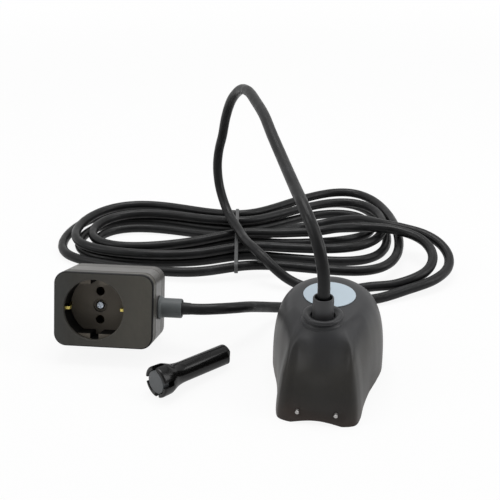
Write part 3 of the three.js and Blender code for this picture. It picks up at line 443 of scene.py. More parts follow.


# The head is redder toward its foot. Above that, a darker band is painted shade, and the lighter,
# bluish colours toward its top are a painted sheen. The box's face is lighter toward its right,
# which is painted light.
HEAD_TINT_AND_PAINTED_LIGHT = [
    (0.05, (0.034, 0.0235, 0.019)),
    (0.17, (0.024, 0.0195, 0.0165)),
    (0.3, (0.023, 0.0212, 0.0187)),
    (0.55, (0.036, 0.034, 0.0305)),
    (0.85, (0.029, 0.0294, 0.032)),
]
# Painted light: the face's colour grows lighter toward the box's right, where light falls.
FACE_PAINTED_LIGHT = [
    (0.0, (0.052, 0.054, 0.052)),
    (0.2, (0.05, 0.0485, 0.043)),
    (0.6, (0.078, 0.073, 0.062)),
    (1.0, (0.105, 0.099, 0.083)),
]

LOOKS = {
    # Painted shade and a painted sheen: the head's colours by height.
    "housing": moulded(
        "head_plastic_and_painted_light", (0.031, 0.0305, 0.0295), 0.41, grain=700, relief=0.1,
        wear=0.08, specular=0.3, tint_and_painted_light=("Z", 0.0, 0.056, HEAD_TINT_AND_PAINTED_LIGHT),
    ),
    "resin": moulded(
        "resin", (0.035, 0.018, 0.015), 0.4, grain=300, relief=0.05,
        wear=0.0, specular=0.4, spread=0.25,
    ),
    "steel": metal("electrode_steel", (0.5, 0.49, 0.48), 0.4),
    "seal": moulded("seal_rubber", (0.012, 0.012, 0.013), 0.6, grain=1200, relief=0.05),
    "label": moulded(
        "label_film", (0.47, 0.555, 0.62), 0.42, grain=600, relief=0.02,
        wear=0.0, specular=0.4, spread=0.03,
    ),
    "sleeve": moulded("sleeve_plastic", (0.06, 0.06, 0.0625), 0.44, relief=0.06),
    "board": moulded(
        "board_green", (0.02, 0.11, 0.05), 0.35, grain=500, relief=0.03, wear=0.05, specular=0.5
    ),
    "relay": moulded("relay_blue", (0.03, 0.08, 0.26), 0.3, grain=800, relief=0.03),
    "capacitor": moulded("capacitor_sleeve", (0.02, 0.022, 0.03), 0.28, grain=800, relief=0.03),
    "terminal": moulded("terminal_green", (0.05, 0.2, 0.08), 0.45, relief=0.05),
    "glass": glass_look("reed_glass", (0.6, 0.7, 0.66)),
    # The face takes painted light across it and painted reflection streaks.
    "box_face": moulded(
        "box_face", (0.042, 0.0405, 0.0365), 0.46, grain=1000, relief=0.1,
        wear=0.14, specular=0.3, painted_reflection_streaks=0.4, tint_and_painted_light=("X", -0.176, -0.11, FACE_PAINTED_LIGHT),
    ),
    # Near-black: the dark joints, and painted shade on the face's sides and rounded edge.
    "box_joints_painted_shade": moulded(
        "box_joints_painted_shade", (0.009, 0.009, 0.009), 0.45, grain=1000, relief=0.06, wear=0.05, specular=0.2
    ),
    # A lighter copy of the box's plastic: painted light on its sides, with painted reflection
    # streaks.
    "box_side": moulded(
        "box_side", (0.097, 0.093, 0.087), 0.36, relief=0.07, specular=0.45, painted_reflection_streaks=0.2
    ),
    # A lighter copy of the box's plastic: painted light on the rear band.
    "box_rear": moulded("box_rear", (0.075, 0.071, 0.066), 0.4, specular=0.4),
    "socket": moulded(
        "socket_inside", (0.165, 0.146, 0.12), 0.5, grain=1100, wear=0.1, specular=0.25
    ),
    # A near-black copy of the socket's plastic: painted shade in the recess.
    "socket_wall_painted_shade": moulded(
        "socket_wall_painted_shade", (0.006, 0.0058, 0.0056), 0.5, grain=1100, relief=0.05,
        wear=0.05, specular=0.12,
    ),
    "brass": metal("contact_brass", (1.0, 0.82, 0.22), 0.3, metallic=0.6),
    # Dark brass: painted shade on the contacts seen deep in the pin holes.
    "brass_painted_shade": metal("contact_brass_painted_shade", (0.05, 0.038, 0.016), 0.5),
    "nickel": metal("plug_nickel", (0.72, 0.7, 0.66), 0.2),
    "zinc": metal("screw_zinc", (0.62, 0.68, 0.76), 0.26),
    "gland": moulded("gland_grey", (0.115, 0.125, 0.128), 0.5, grain=800, relief=0.07, wear=0.08),
    "bush": moulded(
        "bush_rubber", (0.009, 0.009, 0.0095), 0.55, grain=1200, relief=0.05,
        wear=0.05, specular=0.3,
    ),
    "key": moulded("key_black", (0.0045, 0.0045, 0.0045), 0.2, relief=0.06, specular=0.28),
    "magnet": moulded(
        "magnet_plate", (0.082, 0.088, 0.092), 0.42, grain=1400, relief=0.12,
        wear=0.1, specular=0.45, spread=0.14,
    ),
    "cord": cord_rubber(),
    "tie": moulded(
        "tie_nylon", (0.07, 0.071, 0.072), 0.4, grain=800, relief=0.04, wear=0.2, specular=0.45
    ),
}

# Pieces that keep the CAD's own shape and take only a look
INNER_NODES = {
    "resin": ("base_plate", "potting_compound"),
    "seal": ("electrode_seal_left", "electrode_seal_right", "cord_seal"),
    "sleeve": ("sensor_cord_clamp", "box_cord_clamp"),
    "board": ("circuit_board",),
    "relay": ("relay",),
    "capacitor": ("capacitor",),
    "terminal": ("terminal_block",),
    "glass": ("reed_switch",),
    # The contacts behind the pin holes take the dark brass: painted shade.
    "brass_painted_shade": ("pole_contact_upper", "pole_contact_lower", "earth_strap"),
    "brass": ("plug_earth_strip_left", "plug_earth_strip_right"),
}

for inner_look, node_names in INNER_NODES.items():
    for node_name in node_names:
        for material_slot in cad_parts[node_name].material_slots:
            material_slot.material = LOOKS[inner_look]


# ---------------------------------------------------------------- building pieces
CORNER_STEPS = 12
LAID_ALONG_X = Matrix.Rotation(math.pi / 2, 4, "Y")
LAID_ALONG_MINUS_Y = Matrix.Rotation(math.pi / 2, 4, "X")


def as_object(name, vertices, faces):
    """A closed mesh in mm, its faces turned outward, to be cut, joined and eased."""
    mesh = bpy.data.meshes.new(name)
    mesh.from_pydata([tuple(v) for v in vertices], [], faces)
    work = bmesh.new()
    work.from_mesh(mesh)
    bmesh.ops.recalc_face_normals(work, faces=work.faces)
    work.to_mesh(mesh)
    work.free()
    made = bpy.data.objects.new(name, mesh)
    bpy.context.scene.collection.objects.link(made)
    return made


def settle(made):
    """Replaces an object's mesh by what its modifiers make of it."""
    depsgraph = bpy.context.evaluated_depsgraph_get()
    mesh = bpy.data.meshes.new_from_object(made.evaluated_get(depsgraph))
    made.modifiers.clear()
    made.data = mesh
    return made


def combined(made, operation, tools):
    """An object cut by or joined to others, which are used up."""
    for tool in tools:
        modifier = made.modifiers.new("combine", "BOOLEAN")
        modifier.operation = operation
        modifier.solver = "EXACT"
        modifier.object = tool
    settle(made)
    for tool in tools:
        bpy.data.objects.remove(tool)
    return made


def without(made, *tools):
    return combined(made, "DIFFERENCE", tools)


def joined(made, *tools):
    return combined(made, "UNION", tools)


def finished(made, name, look, node=None, place=None, body=UNIT, ease=0.0, sharp=35):
    """Eases an object's edges, puts it in place in metres, and gives it its look and its body.

    node is the CAD piece that it stands for, ease the rounding of its edges in mm, and sharp the
    angle in degrees from which an edge stays crisp."""
    if ease:
        bevel = made.modifiers.new("ease", "BEVEL")
        bevel.width = ease
        bevel.segments = 2
        bevel.limit_method = "ANGLE"
        bevel.angle_limit = math.radians(38)
        settle(made)
    mesh = made.data
    mesh.transform(Matrix.Scale(MM, 4) @ (place or Matrix.Identity(4)))
    mesh.shade_smooth()
    mesh.set_sharp_from_angle(angle=math.radians(sharp))
    mesh.materials.clear()
    mesh.materials.append(LOOKS[look])
    made.name = name
    weighted = made.modifiers.new("normals", "WEIGHTED_NORMAL")
    weighted.keep_sharp = True
    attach(made, body)
    if node:
        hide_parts(node)
    return made


def second_look(made, look, faces):
    """Gives some of an object's faces a look of their own."""
    made.data.materials.append(LOOKS[look])
    for i in faces:
        made.data.polygons[i].material_index = 1


def loft(loops, cap_start=True, closed=False):
    """Vertices and faces of a skin through loops of the same number of points."""
    count = len(loops[0])
    vertices = [p for loop in loops for p in loop]
    faces = []
    for i in range(len(loops) if closed else len(loops) - 1):
        base, after = i * count, (i + 1) % len(loops) * count
        for k in range(count):
            n = (k + 1) % count
            faces.append((base + k, base + n, after + n, after + k))
    if cap_start and not closed:
        faces.append(tuple(reversed(range(count))))
    if not closed:
        faces.append(tuple(range(len(vertices) - count, len(vertices))))
    return vertices, faces


def circle(radius, z, count, x=0.0, y=0.0):
    turns = [2 * math.pi * k / count for k in range(count)]
    return [Vector((x + radius * math.cos(t), y + radius * math.sin(t), z)) for t in turns]


def turned(name, profile, count=64, x=0.0, y=0.0, ring=False):
    """A profile of (radius, height) turned about an upright axis; a ring closes on itself."""
    loops = [circle(radius, z, count, x, y) for radius, z in profile]
    return as_object(name, *loft(loops, closed=ring))


def rod(x, y, z0, z1, diameter, count=48):
    return turned("rod", [(diameter / 2, z0), (diameter / 2, z1)], count, x, y)


def prism(outline, z0, z1):
    loops = [[Vector((x, y, z)) for x, y in outline] for z in (z0, z1)]
    return as_object("prism", *loft(loops))


def block(x0, x1, y0, y1, z0, z1):
    return prism([(x0, y0), (x1, y0), (x1, y1), (x0, y1)], z0, z1)


def rounded_outline(x0, x1, y0, y1, radius):
    """A rectangle with rounded corners."""
    out = []
    corners = ((x1, y0, -90, -1, 1), (x1, y1, 0, -1, -1), (x0, y1, 90, 1, -1), (x0, y0, 180, 1, 1))
    for x, y, start, side, rise in corners:
        for k in range(CORNER_STEPS + 1):
            angle = math.radians(start + 90 * k / CORNER_STEPS)
            across = x + side * radius + radius * math.cos(angle)
            out.append((across, y + rise * radius + radius * math.sin(angle)))
    return out


# ---------------------------------------------------------------- sensor head
HEAD_WIDTH = 70.4
HEAD_REACH = 52.6
HEAD_FOOT = [
    (0, -1), (0.426, -0.996), (0.642, -0.943), (0.71, -0.817), (0.744, -0.57), (0.813, -0.285),
    (0.92, -0.019), (1, 0.247), (0.972, 0.513), (0.796, 0.78), (0.455, 0.951),
]
HEAD_BACK = 53
HEAD_HEIGHT = 52
HEAD_TOP_WIDTH = 34
HEAD_TOP_FRONT = -29
HEAD_TOP_BACK = 31
FRONT_FULLNESS = 1.5
BACK_FULLNESS = 2.6
ARCH_HEIGHT = 2.6
ARCH_WIDTH = 30
ARCH_DEPTH = 12
HEAD_LIP = 6
HOLLOW_X = 13.5
HOLLOW_DEPTH = 3.4
RIDGE_X = 19.4
RIDGE_HEIGHT = 2.0
RELIEF_Z = 38
PANEL_DEPTH = 0.9
ELECTRODE_X = 11.2
ELECTRODE_Z = 7.4
LABEL_Y = 11


def foot_outline(count):
    """The head's outline at its foot, as so many points an even way apart, from the front."""
    right = [Vector((x * HEAD_WIDTH / 2, y * HEAD_REACH, 0)) for x, y in HEAD_FOOT[1:]]
    left = [Vector((-p.x, p.y, 0)) for p in reversed(right)]
    loop = [Vector((0, -HEAD_REACH, 0)), *right, Vector((0, HEAD_BACK, 0)), *left]
    line = centripetal([*loop[-3:], *loop, *loop[:3]], 0.4)
    half = len(line) // 2
    from_front = [(p - loop[0]).length for p in line]
    start = from_front.index(min(from_front[:half]))
    stop = from_front.index(min(from_front[half:]), half)
    ring = line[start : stop + 1]
    along = [0.0]
    for a, b in zip(ring, ring[1:]):
        along.append(along[-1] + (b - a).length)
    out = []
    j = 0
    for i in range(count):
        want = along[-1] * i / count
        while along[j + 1] < want:
            j += 1
        share = (want - along[j]) / (along[j + 1] - along[j])
        out.append(ring[j].lerp(ring[j + 1], share))
    return out


def face_relief(x, z):
    """How far the face is pressed in: hollows inside two ridges, a panel between two pillars."""
    side, rise = abs(x), z - RELIEF_Z
    fall = 6.5 if rise > 0 else 12
    spread = 4.2 if side > HOLLOW_X else 7
    hollow = HOLLOW_DEPTH * math.exp(-(((side - HOLLOW_X) / spread) ** 2) - (rise / fall) ** 2)
    panel = PANEL_DEPTH * smoothstep(z, 2, 9) * (1 - smoothstep(z, 22, 31))
    panel *= 1 - smoothstep(side, 14.5, 18.5)
    ridge = RIDGE_HEIGHT * math.exp(-(((side - RIDGE_X) / 3.2) ** 2) - (rise / 8) ** 2)
    return hollow + panel - ridge


def make_head():
    """The moulded shell, from its foot up to its flat top, and the collar round the cord."""
    columns, rows = 240, 60
    foot = foot_outline(columns)
    centre_y = (HEAD_TOP_FRONT + HEAD_TOP_BACK) / 2
    top_x, top_y = HEAD_TOP_WIDTH / 2, (HEAD_TOP_BACK - HEAD_TOP_FRONT) / 2
    arch_radius = (ARCH_WIDTH**2 / 4 + ARCH_HEIGHT**2) / (2 * ARCH_HEIGHT)
    loops = []
    for row in range(rows + 1):
        turn = (row / rows) * math.pi / 2
        loop = []
        for p in foot:
            dx, dy = p.x, p.y - centre_y
            reach = math.hypot(dx, dy)
            cos, sin = dx / reach, dy / reach
            top = 1 / math.hypot(cos / top_x, sin / top_y)
            front = smoothstep(-sin, 0.35, 0.95)
            fullness = lerp(BACK_FULLNESS, FRONT_FULLNESS, front)
            out = math.cos(turn) ** (2 / fullness) if row < rows else 0
            up = math.sin(turn) ** (2 / fullness) if row < rows else 1
            radius = top + (reach - top) * out
            x, y, z = radius * cos, centre_y + radius * sin, HEAD_HEIGHT * up
            if sin < 0:
                y += face_relief(x, z) * smoothstep(-sin, 0.4, 0.8)
            if sin < 0 and abs(x) < ARCH_WIDTH / 2 and y < ARCH_DEPTH - HEAD_REACH:
                arch = ARCH_HEIGHT - arch_radius + math.sqrt(arch_radius**2 - x**2)
                z = max(z, arch + z * 0.02)
            loop.append(Vector((x, y, z)))
        loops.append(loop)
    crown = [Vector((p.x * 0.5, centre_y + (p.y - centre_y) * 0.5, HEAD_HEIGHT)) for p in loops[-1]]
    inner = [Vector((p.x * 0.93, centre_y + (p.y - centre_y) * 0.945, p.z)) for p in loops[0]]
    inner_up = [Vector((p.x, p.y, p.z + HEAD_LIP)) for p in inner]
    shell = as_object("head_shell", *loft([inner_up, inner, *loops, crown], cap_start=False))
    finished(shell, "head_shell", "housing", "sensor_housing", sharp=60)
    profile = [
        (13.15, 46.5), (13.1, 50.6), (12.9, 51.7), (12.4, 52.3), (11.75, 52.65), (11.5, 52.95),
        (11.7, 53.3), (12.15, 53.75), (12.25, 54.5), (12.1, 55.0), (11.8, 55.45), (11.2, 55.85),
        (10.4, 56.0), (9.6, 55.85), (8.9, 55.4), (8.2, 54.8), (7.6, 54.5), (7.35, 54.2),
        (7.3, 53.6), (7.3, 42), (8.2, 42), (8.2, 46.5),
    ]
    collar = turned("head_collar", profile, 96, ring=True)
    finished(collar, "head_collar", "housing", place=AT_COLLAR, sharp=50)


def make_cord_entry():
    """The sleeve that the cord leaves the head through."""
    profile = [
        (4.3, 40.4), (6.3, 40.4), (6.38, 44), (6.38, 55), (6.25, 65.3), (6.12, 66.0),
        (5.85, 66.35), (5.5, 66.4), (5.25, 66.2), (5.1, 65.6), (4.9, 62), (4.4, 58), (4.3, 52),
    ]
    piece, node = "sensor_sleeve_tube", "sensor_sleeve"
    sleeve = turned(piece, profile, 72, ring=True)
    finished(sleeve, piece, "sleeve", node, AT_COLLAR, sharp=50)


def make_label():
    profile = [(15.9, 52.1), (16.25, 52.12), (16.3, 52.3), (16.2, 52.44), (15.9, 52.5), (8, 52.5)]
    film = turned("label_disc", profile, 96, y=LABEL_Y)
    finished(film, "label_disc", "label", "sensor_label", sharp=60)


def make_electrodes():
    profile = [(1.1, 36.1), (1.1, 52.3), (1.2, 52.4), (1.24, 52.7), (1.15, 53.05)]
    profile += [(0.9, 53.3), (0.5, 53.45)]
    for side, x in (("left", -ELECTRODE_X), ("right", ELECTRODE_X)):
        node = f"electrode_{side}"
        place = Matrix.Translation((x, 0, ELECTRODE_Z)) @ LAID_ALONG_MINUS_Y
        pin = turned(f"{node}_pin", profile, 32)
        finished(pin, f"{node}_pin", "steel", node, place, sharp=50)


# ---------------------------------------------------------------- socket box
BOX_CORNER = 8
BOX_WALL = 2.4
REAR_DEPTH = 12
FACE_DEPTH = 31.5
RECESS_X = 25.9 - BOX_WIDTH / 2
RECESS_RADIUS = 19.5
RECESS_FLOOR = 22.5
INSERT_BACK = 19.5
PLATE_UNDER = 37.6
PIN_Y = 9.5
FLAT_REACH = 16.1
FLAT_LEVEL = 36.4
SLOT_HALF = 2.8
RECESS_STEPS = 40
COVER_SIDES = 288
COVER_EASE = 1.3
CLIP_THICKNESS = 0.55
CLIP_HALF_WIDTH = 0.95
SCREW_INSET = 5.2
SCREW_TURN = math.radians(28)


def box_outline(inset):
    half = BOX_WIDTH / 2 - inset
    return rounded_outline(-half, half, inset, BOX_HEIGHT - inset, BOX_CORNER - inset)


def box_loop(inset, z):
    return [Vector((x, y, z)) for x, y in box_outline(inset)]


def ray_loop(inset, z):
    """The box's outline, drawn in by an inset, on evenly turned rays from the recess's middle."""
    half_x = BOX_WIDTH / 2 - inset
    half_y = MID_Y - inset
    corner = BOX_CORNER - inset
    out = []
    for k in range(COVER_SIDES):
        cos = math.cos(2 * math.pi * k / COVER_SIDES)
        sin = math.sin(2 * math.pi * k / COVER_SIDES)
        near, far = 0.0, 80.0
        for _ in range(30):
            reach = (near + far) / 2
            dx = abs(RECESS_X + reach * cos) - (half_x - corner)
            dy = abs(reach * sin) - (half_y - corner)
            outside = math.hypot(max(dx, 0), max(dy, 0)) + min(max(dx, dy), 0) > corner
            near, far = (near, reach) if outside else (reach, far)
        out.append(Vector((RECESS_X + near * cos, MID_Y + near * sin, z)))
    return out


def make_front_cover():
    """The cover round the recess, with painted shade, a near-black look, on its sides and rounded
    edge.
    """
    base = FACE_DEPTH + GAP
    round_start = BOX_DEPTH - COVER_EASE
    rim = [(BOX_WALL, base), (0.35, base), (0, base + 0.35), (0, round_start - 1.2)]
    for k in range(6):
        angle = math.radians(18 * k)
        rim.append((COVER_EASE * (1 - math.cos(angle)), round_start + COVER_EASE * math.sin(angle)))
    mouth = [(20.1, 40), (19.8, 39.93), (19.58, 39.72), (RECESS_RADIUS, 39.4)]
    mouth += [(RECESS_RADIUS, PLATE_UNDER), (21.9, PLATE_UNDER)]
    loops = [ray_loop(inset, z) for inset, z in rim]
    loops += [circle(radius, z, COVER_SIDES, RECESS_X, MID_Y) for radius, z in mouth]
    loops.append(ray_loop(BOX_WALL, PLATE_UNDER))
    cover = as_object("front_cover", *loft(loops, closed=True))
    node = "box_front_cover"
    finished(cover, "front_cover", "box_face", node, BOX_FRAME, sharp=40)
    # Painted shade: the cover's sides and rounded edge take the near-black look.
    second_look(cover, "box_joints_painted_shade", range(3 * COVER_SIDES, (len(rim) - 2) * COVER_SIDES))


def recess_outlines():
    """The recess between its flats, and the round mouth over them, point for point."""
    flat_angle = math.degrees(math.asin(FLAT_REACH / RECESS_RADIUS))
    slot_angle = math.degrees(math.asin(SLOT_HALF / RECESS_RADIUS))
    slot_end = math.sqrt(RECESS_RADIUS**2 - SLOT_HALF**2)
    quarter = []
    for k in range(RECESS_STEPS + 1):
        angle = math.radians(flat_angle * k / RECESS_STEPS)
        quarter.append((RECESS_RADIUS * math.cos(angle), RECESS_RADIUS * math.sin(angle)))
    flat_end = quarter[-1][0]
    for k in range(1, 9):
        quarter.append((lerp(flat_end, SLOT_HALF, k / 8), FLAT_REACH))
    quarter.append((SLOT_HALF, slot_end))
    for k in range(1, 5):
        angle = math.radians(90 - slot_angle + slot_angle * k / 4)
        quarter.append((RECESS_RADIUS * math.cos(angle), RECESS_RADIUS * math.sin(angle)))
    top = quarter + [(-x, y) for x, y in reversed(quarter[:-1])]
    inner = top[:-1] + [(x, -y) for x, y in reversed(top)][:-1]
    mouth = []
    for x, y in inner:
        reach = math.hypot(x, y)
        mouth.append((x * RECESS_RADIUS / reach, y * RECESS_RADIUS / reach))
    return inner, mouth


def make_insert():
    """The socket: a cup with recess, pin holes, screw seat and pockets for the side contacts."""
    inner, mouth = recess_outlines()
    at = [(RECESS_X + x, MID_Y + y) for x, y in inner]
    round_at = [(RECESS_X + x, MID_Y + y) for x, y in mouth]
    cup = turned("cup", [(21.3, INSERT_BACK), (21.3, PLATE_UNDER - GAP)], 96, RECESS_X, MID_Y)
    room = prism(at, RECESS_FLOOR, FLAT_LEVEL)
    above = prism(round_at, FLAT_LEVEL - 0.02, PLATE_UNDER + 1)
    floor = RECESS_FLOOR
    hole = [(2.75, INSERT_BACK - 1), (2.75, floor - 0.5), (3.15, floor), (3.15, floor + 1)]
    pins = [turned("pin_hole", hole, 48, RECESS_X, MID_Y + side * PIN_Y) for side in (1, -1)]
    dish = [(4.5, floor - 1.5), (4.5, floor - 0.25), (4.75, floor), (4.75, floor + 1)]
    seat = turned("seat", dish, 64, RECESS_X, MID_Y)
    bore = rod(RECESS_X, MID_Y, INSERT_BACK - 1, floor, 3.6, 32)
    pockets = []
    for side in (1, -1):
        wall = RECESS_X + side * RECESS_RADIUS
        x0, x1 = sorted((wall - side * 0.6, wall + side * 4.6))
        pockets.append(block(x0, x1, MID_Y - 1.6, MID_Y + 1.6, INSERT_BACK - 1, 36.9))
    without(cup, room, above, *pins, seat, bore, *pockets)
    # Painted shade: the cup's upright faces take the near-black copy.
    shaded_walls = [i for i, face in enumerate(cup.data.polygons) if abs(face.normal.z) < 0.6]
    finished(cup, "socket_cup", "socket", "socket_insert", BOX_FRAME, sharp=38)
    second_look(cup, "socket_wall_painted_shade", shaded_walls)


def make_clips():
    """Sprung blades: a strip that rises from its pocket, bows into the recess and goes back in."""
    bends = [(0.6, 19.8), (0.5, 22.8), (-0.7, 25.2), (-1.8, 27.6), (-2.6, 30.2)]
    bends += [(-3.2, 32.6), (-3.4, 34.3), (-3.1, 35.5), (-1.9, 36.2), (0.2, 36.3)]
    line = centripetal([Vector((x, 0, z)) for x, z in bends], 0.5)
    for name, side in (("left", -1), ("right", 1)):
        wall = RECESS_X + side * RECESS_RADIUS
        loops = []
        for i, p in enumerate(line):
            along = (line[min(i + 1, len(line) - 1)] - line[max(i - 1, 0)]).normalized()
            normal = Vector((along.z, 0, -along.x))
            loop = []
            for depth, width in ((0, -1), (0, 1), (1, 1), (1, -1)):
                q = p + normal * (CLIP_THICKNESS * depth)
                loop.append(Vector((wall + side * q.x, MID_Y + CLIP_HALF_WIDTH * width, q.z)))
            loops.append(loop)
        piece, node, body = f"clip_blade_{name}", f"earth_clip_{name}", f"{name}_clip"
        blade = as_object(piece, *loft(loops))
        finished(blade, piece, "brass", node, BOX_FRAME, body, 0.12, 40)


def screw(node, x, y, top, head, shank, length, front=True):
    """A pan head with a cross in it, on a plain shank, seen from the box's front or its back."""
    radius = head / 2
    profile = [
        (shank / 2 - 0.3, -length), (shank / 2, -length + 0.4), (shank / 2, -2.0),
        (radius - 0.1, -2.0), (radius, -1.8), (radius, -1.0), (radius - 0.25, -0.5),
        (radius - 0.8, -0.15), (radius * 0.4, 0),
    ]
    made = turned(f"{node}_pan", profile, 48)
    arm, half, floor = head * 0.32, 0.45, -1.15
    without(made, block(-arm, arm, -half, half, floor, 1), block(-half, half, -arm, arm, floor, 1))
    flip = Matrix.Identity(4) if front else Matrix.Rotation(math.pi, 4, "X")
    place = BOX_FRAME @ Matrix.Translation((x, y, top)) @ flip @ Matrix.Rotation(SCREW_TURN, 4, "Z")
    finished(made, f"{node}_pan", "zinc", node, place, ease=0.08)


def make_screws():
    screw("centre_screw", RECESS_X, MID_Y, 23.3, 5.6, 3, 9)
    half = BOX_WIDTH / 2 - SCREW_INSET
    for level, y in (("lower", SCREW_INSET), ("upper", BOX_HEIGHT - SCREW_INSET)):
        for side, x in (("left", -half), ("right", half)):
            screw(f"rear_screw_{level}_{side}", x, y, 0.3, 5.4, 2.9, 30, front=False)


def screw_pillars(z0, z1, diameter):
    """Rods where the four rear screws are, to be joined or cut."""
    half = BOX_WIDTH / 2 - SCREW_INSET
    levels = (SCREW_INSET, BOX_HEIGHT - SCREW_INSET)
    return [rod(x, y, z0, z1, diameter, 32) for x in (-half, half) for y in levels]


def make_middle_shell():
    """The ring between the covers, with its rims and the hole for the gland."""
    profile = [
        (BOX_WALL, REAR_DEPTH + GAP), (0.7, REAR_DEPTH + GAP), (0.2, REAR_DEPTH + GAP + 0.12),
        (0, REAR_DEPTH + GAP + 0.5), (0, FACE_DEPTH - 1.35), (0.12, FACE_DEPTH - 1.02),
        (0.4, FACE_DEPTH - 0.9), (0.9, FACE_DEPTH - 0.9), (0.9, FACE_DEPTH),
        (BOX_WALL, FACE_DEPTH),
    ]
    loops = [box_loop(inset, z) for inset, z in profile]
    shell = as_object("middle_shell", *loft(loops, closed=True))
    hole = turned("hole", [(6.7, BOX_WIDTH / 2 - 5), (6.7, BOX_WIDTH / 2 + 1)], 48)
    hole.data.transform(Matrix.Translation((0, MID_Y, GLAND_DEPTH)) @ LAID_ALONG_X)
    without(shell, hole)
    low, high = REAR_DEPTH + GAP + 0.4, FACE_DEPTH - 0.95
    seams = [i for i, face in enumerate(shell.data.polygons) if not low < face.center.z < high]
    node = "box_middle_shell"
    # The ring's sides take the lighter copy of the box's plastic: painted light.
    finished(shell, "middle_shell", "box_side", node, BOX_FRAME, sharp=40)
    second_look(shell, "box_joints_painted_shade", seams)


def make_rear_cover():
    """The tray at the back and the round plug on it, with its holes and its strips' notches."""
    profile = [(1.6, 0), (0.8, 0.12), (0.25, 0.55), (0, 1.2), (0, REAR_DEPTH - 0.45)]
    profile += [(0.12, REAR_DEPTH - 0.1), (0.45, REAR_DEPTH)]
    tray = as_object("rear_cover", *loft([box_loop(inset, z) for inset, z in profile]))
    hollow = prism(box_outline(BOX_WALL), BOX_WALL, REAR_DEPTH + 1)
    without(tray, hollow)
    plug = [(16.9, -PLUG_REACH), (17.7, -17.3), (18.15, -16.8), (PLUG_RADIUS, -16.1)]
    plug += [(PLUG_RADIUS, -0.6), (PLUG_RADIUS, 1)]
    boss = turned("boss", plug, 96, 0, MID_Y)
    joined(tray, boss, *screw_pillars(1, REAR_DEPTH, 7.8))
    tools = [rod(0, MID_Y, -14.5, REAR_DEPTH + 1, 30.6, 72)]
    for y in (MID_Y + PIN_Y, MID_Y - PIN_Y):
        tools.append(rod(0, y, -19, REAR_DEPTH, 5.4, 40))
    tools += screw_pillars(-1, 2.6, 6.0)
    tools += screw_pillars(-1, 20, 3.5)
    for side in (1, -1):
        x0, x1 = sorted((side * 19.3, side * 17.2))
        tools.append(block(x0, x1, MID_Y - 3.3, MID_Y + 3.3, -18.5, -1))
    without(tray, *tools)
    node = "box_rear_cover"
    # The tray takes a lighter copy of the box's plastic: painted light.
    finished(tray, "rear_cover", "box_rear", node, BOX_FRAME, ease=0.25)


def make_plug_pins():
    profile = [(2.2, -8.6), (2.4, -8.8), (2.4, -34.0), (2.3, -34.9), (2.0, -35.7)]
    profile += [(1.45, -36.25), (0.7, -36.48)]
    for level, y in (("upper", MID_Y + PIN_Y), ("lower", MID_Y - PIN_Y)):
        node = f"plug_pin_{level}"
        pin = turned(f"{node}_turned", profile, 48, 0, y)
        finished(pin, f"{node}_turned", "nickel", node, BOX_FRAME, sharp=45)


def make_gland():
    """The grey collar on the box's side, and the dark bush in it round the cord."""
    place = BOX_FRAME @ Matrix.Translation((0, MID_Y, GLAND_DEPTH)) @ LAID_ALONG_X
    outer = BOX_WIDTH / 2 + 15.5
    profile = [
        (4.2, 27.4), (6.38, 27.4), (6.38, 32.6), (7.6, 32.6), (7.78, 32.8), (7.78, 33.5),
        (7.5, 34.0), (6.9, 34.35), (6.55, 34.9), (6.4, 35.9), (6.38, outer - 0.9),
        (6.25, outer - 0.35), (5.95, outer - 0.05), (5.6, outer), (5.35, outer - 0.15),
        (5.25, outer - 0.6), (5.25, outer - 3.5), (4.2, outer - 4.2),
    ]
    gland = turned("cord_gland", profile, 72, ring=True)
    finished(gland, "cord_gland", "gland", "box_gland", place, sharp=50)
    bush = [(3.8, outer - 3.2), (5.0, outer - 3.2), (4.9, outer - 0.9), (4.5, outer - 0.3)]
    bush += [(4.15, outer + 0.7), (4.0, outer + 2.6), (3.86, outer + 5.4), (3.8, outer + 5.6)]
    relief = turned("gland_bush", bush, 48, ring=True)
    finished(relief, "gland_bush", "bush", place=place, sharp=50)


# ---------------------------------------------------------------- magnet key
KEY_LENGTH = 56.5
KEY_HEAD_RADIUS = 9.9
KEY_STEM_RADIUS = 6.6
KEY_REST = 7.4

# The key lies on its head's rim, KEY_REST from its end, and on the far end of its stem.
KEY_DIP = math.atan2(KEY_HEAD_RADIUS - KEY_STEM_RADIUS, KEY_LENGTH - KEY_REST)
KEY_RISE = KEY_HEAD_RADIUS * math.cos(KEY_DIP) + KEY_REST * math.sin(KEY_DIP) + FLOOR_GAP
KEY_FRAME = (
    Matrix.Translation((-98.9, -41.8, KEY_RISE))
    @ Matrix.Rotation(math.radians(53), 4, "Z")
    @ Matrix.Rotation(math.pi / 2 + KEY_DIP, 4, "Y")
)
KEY_PROFILE = [
    (8.2, 0.0), (9.2, 0.0), (9.7, 0.2), (10.0, 0.65), (10.1, 1.3), (10.02, 4.2), (9.88, 7.3),
    (9.5, 8.6), (8.85, 10.2), (8.1, 11.9), (7.62, 13.1), (7.2, 14.9), (6.88, 16.8), (6.67, 18.8),
    (6.6, 20.6), (6.6, 38.0), (6.6, 55.3), (6.45, 55.95), (6.1, 56.35), (5.6, 56.5), (4.75, 56.5),
    (4.35, 56.3), (4.2, 55.9), (4.2, 5.5), (7.6, 5.4), (7.6, 0.5),
]


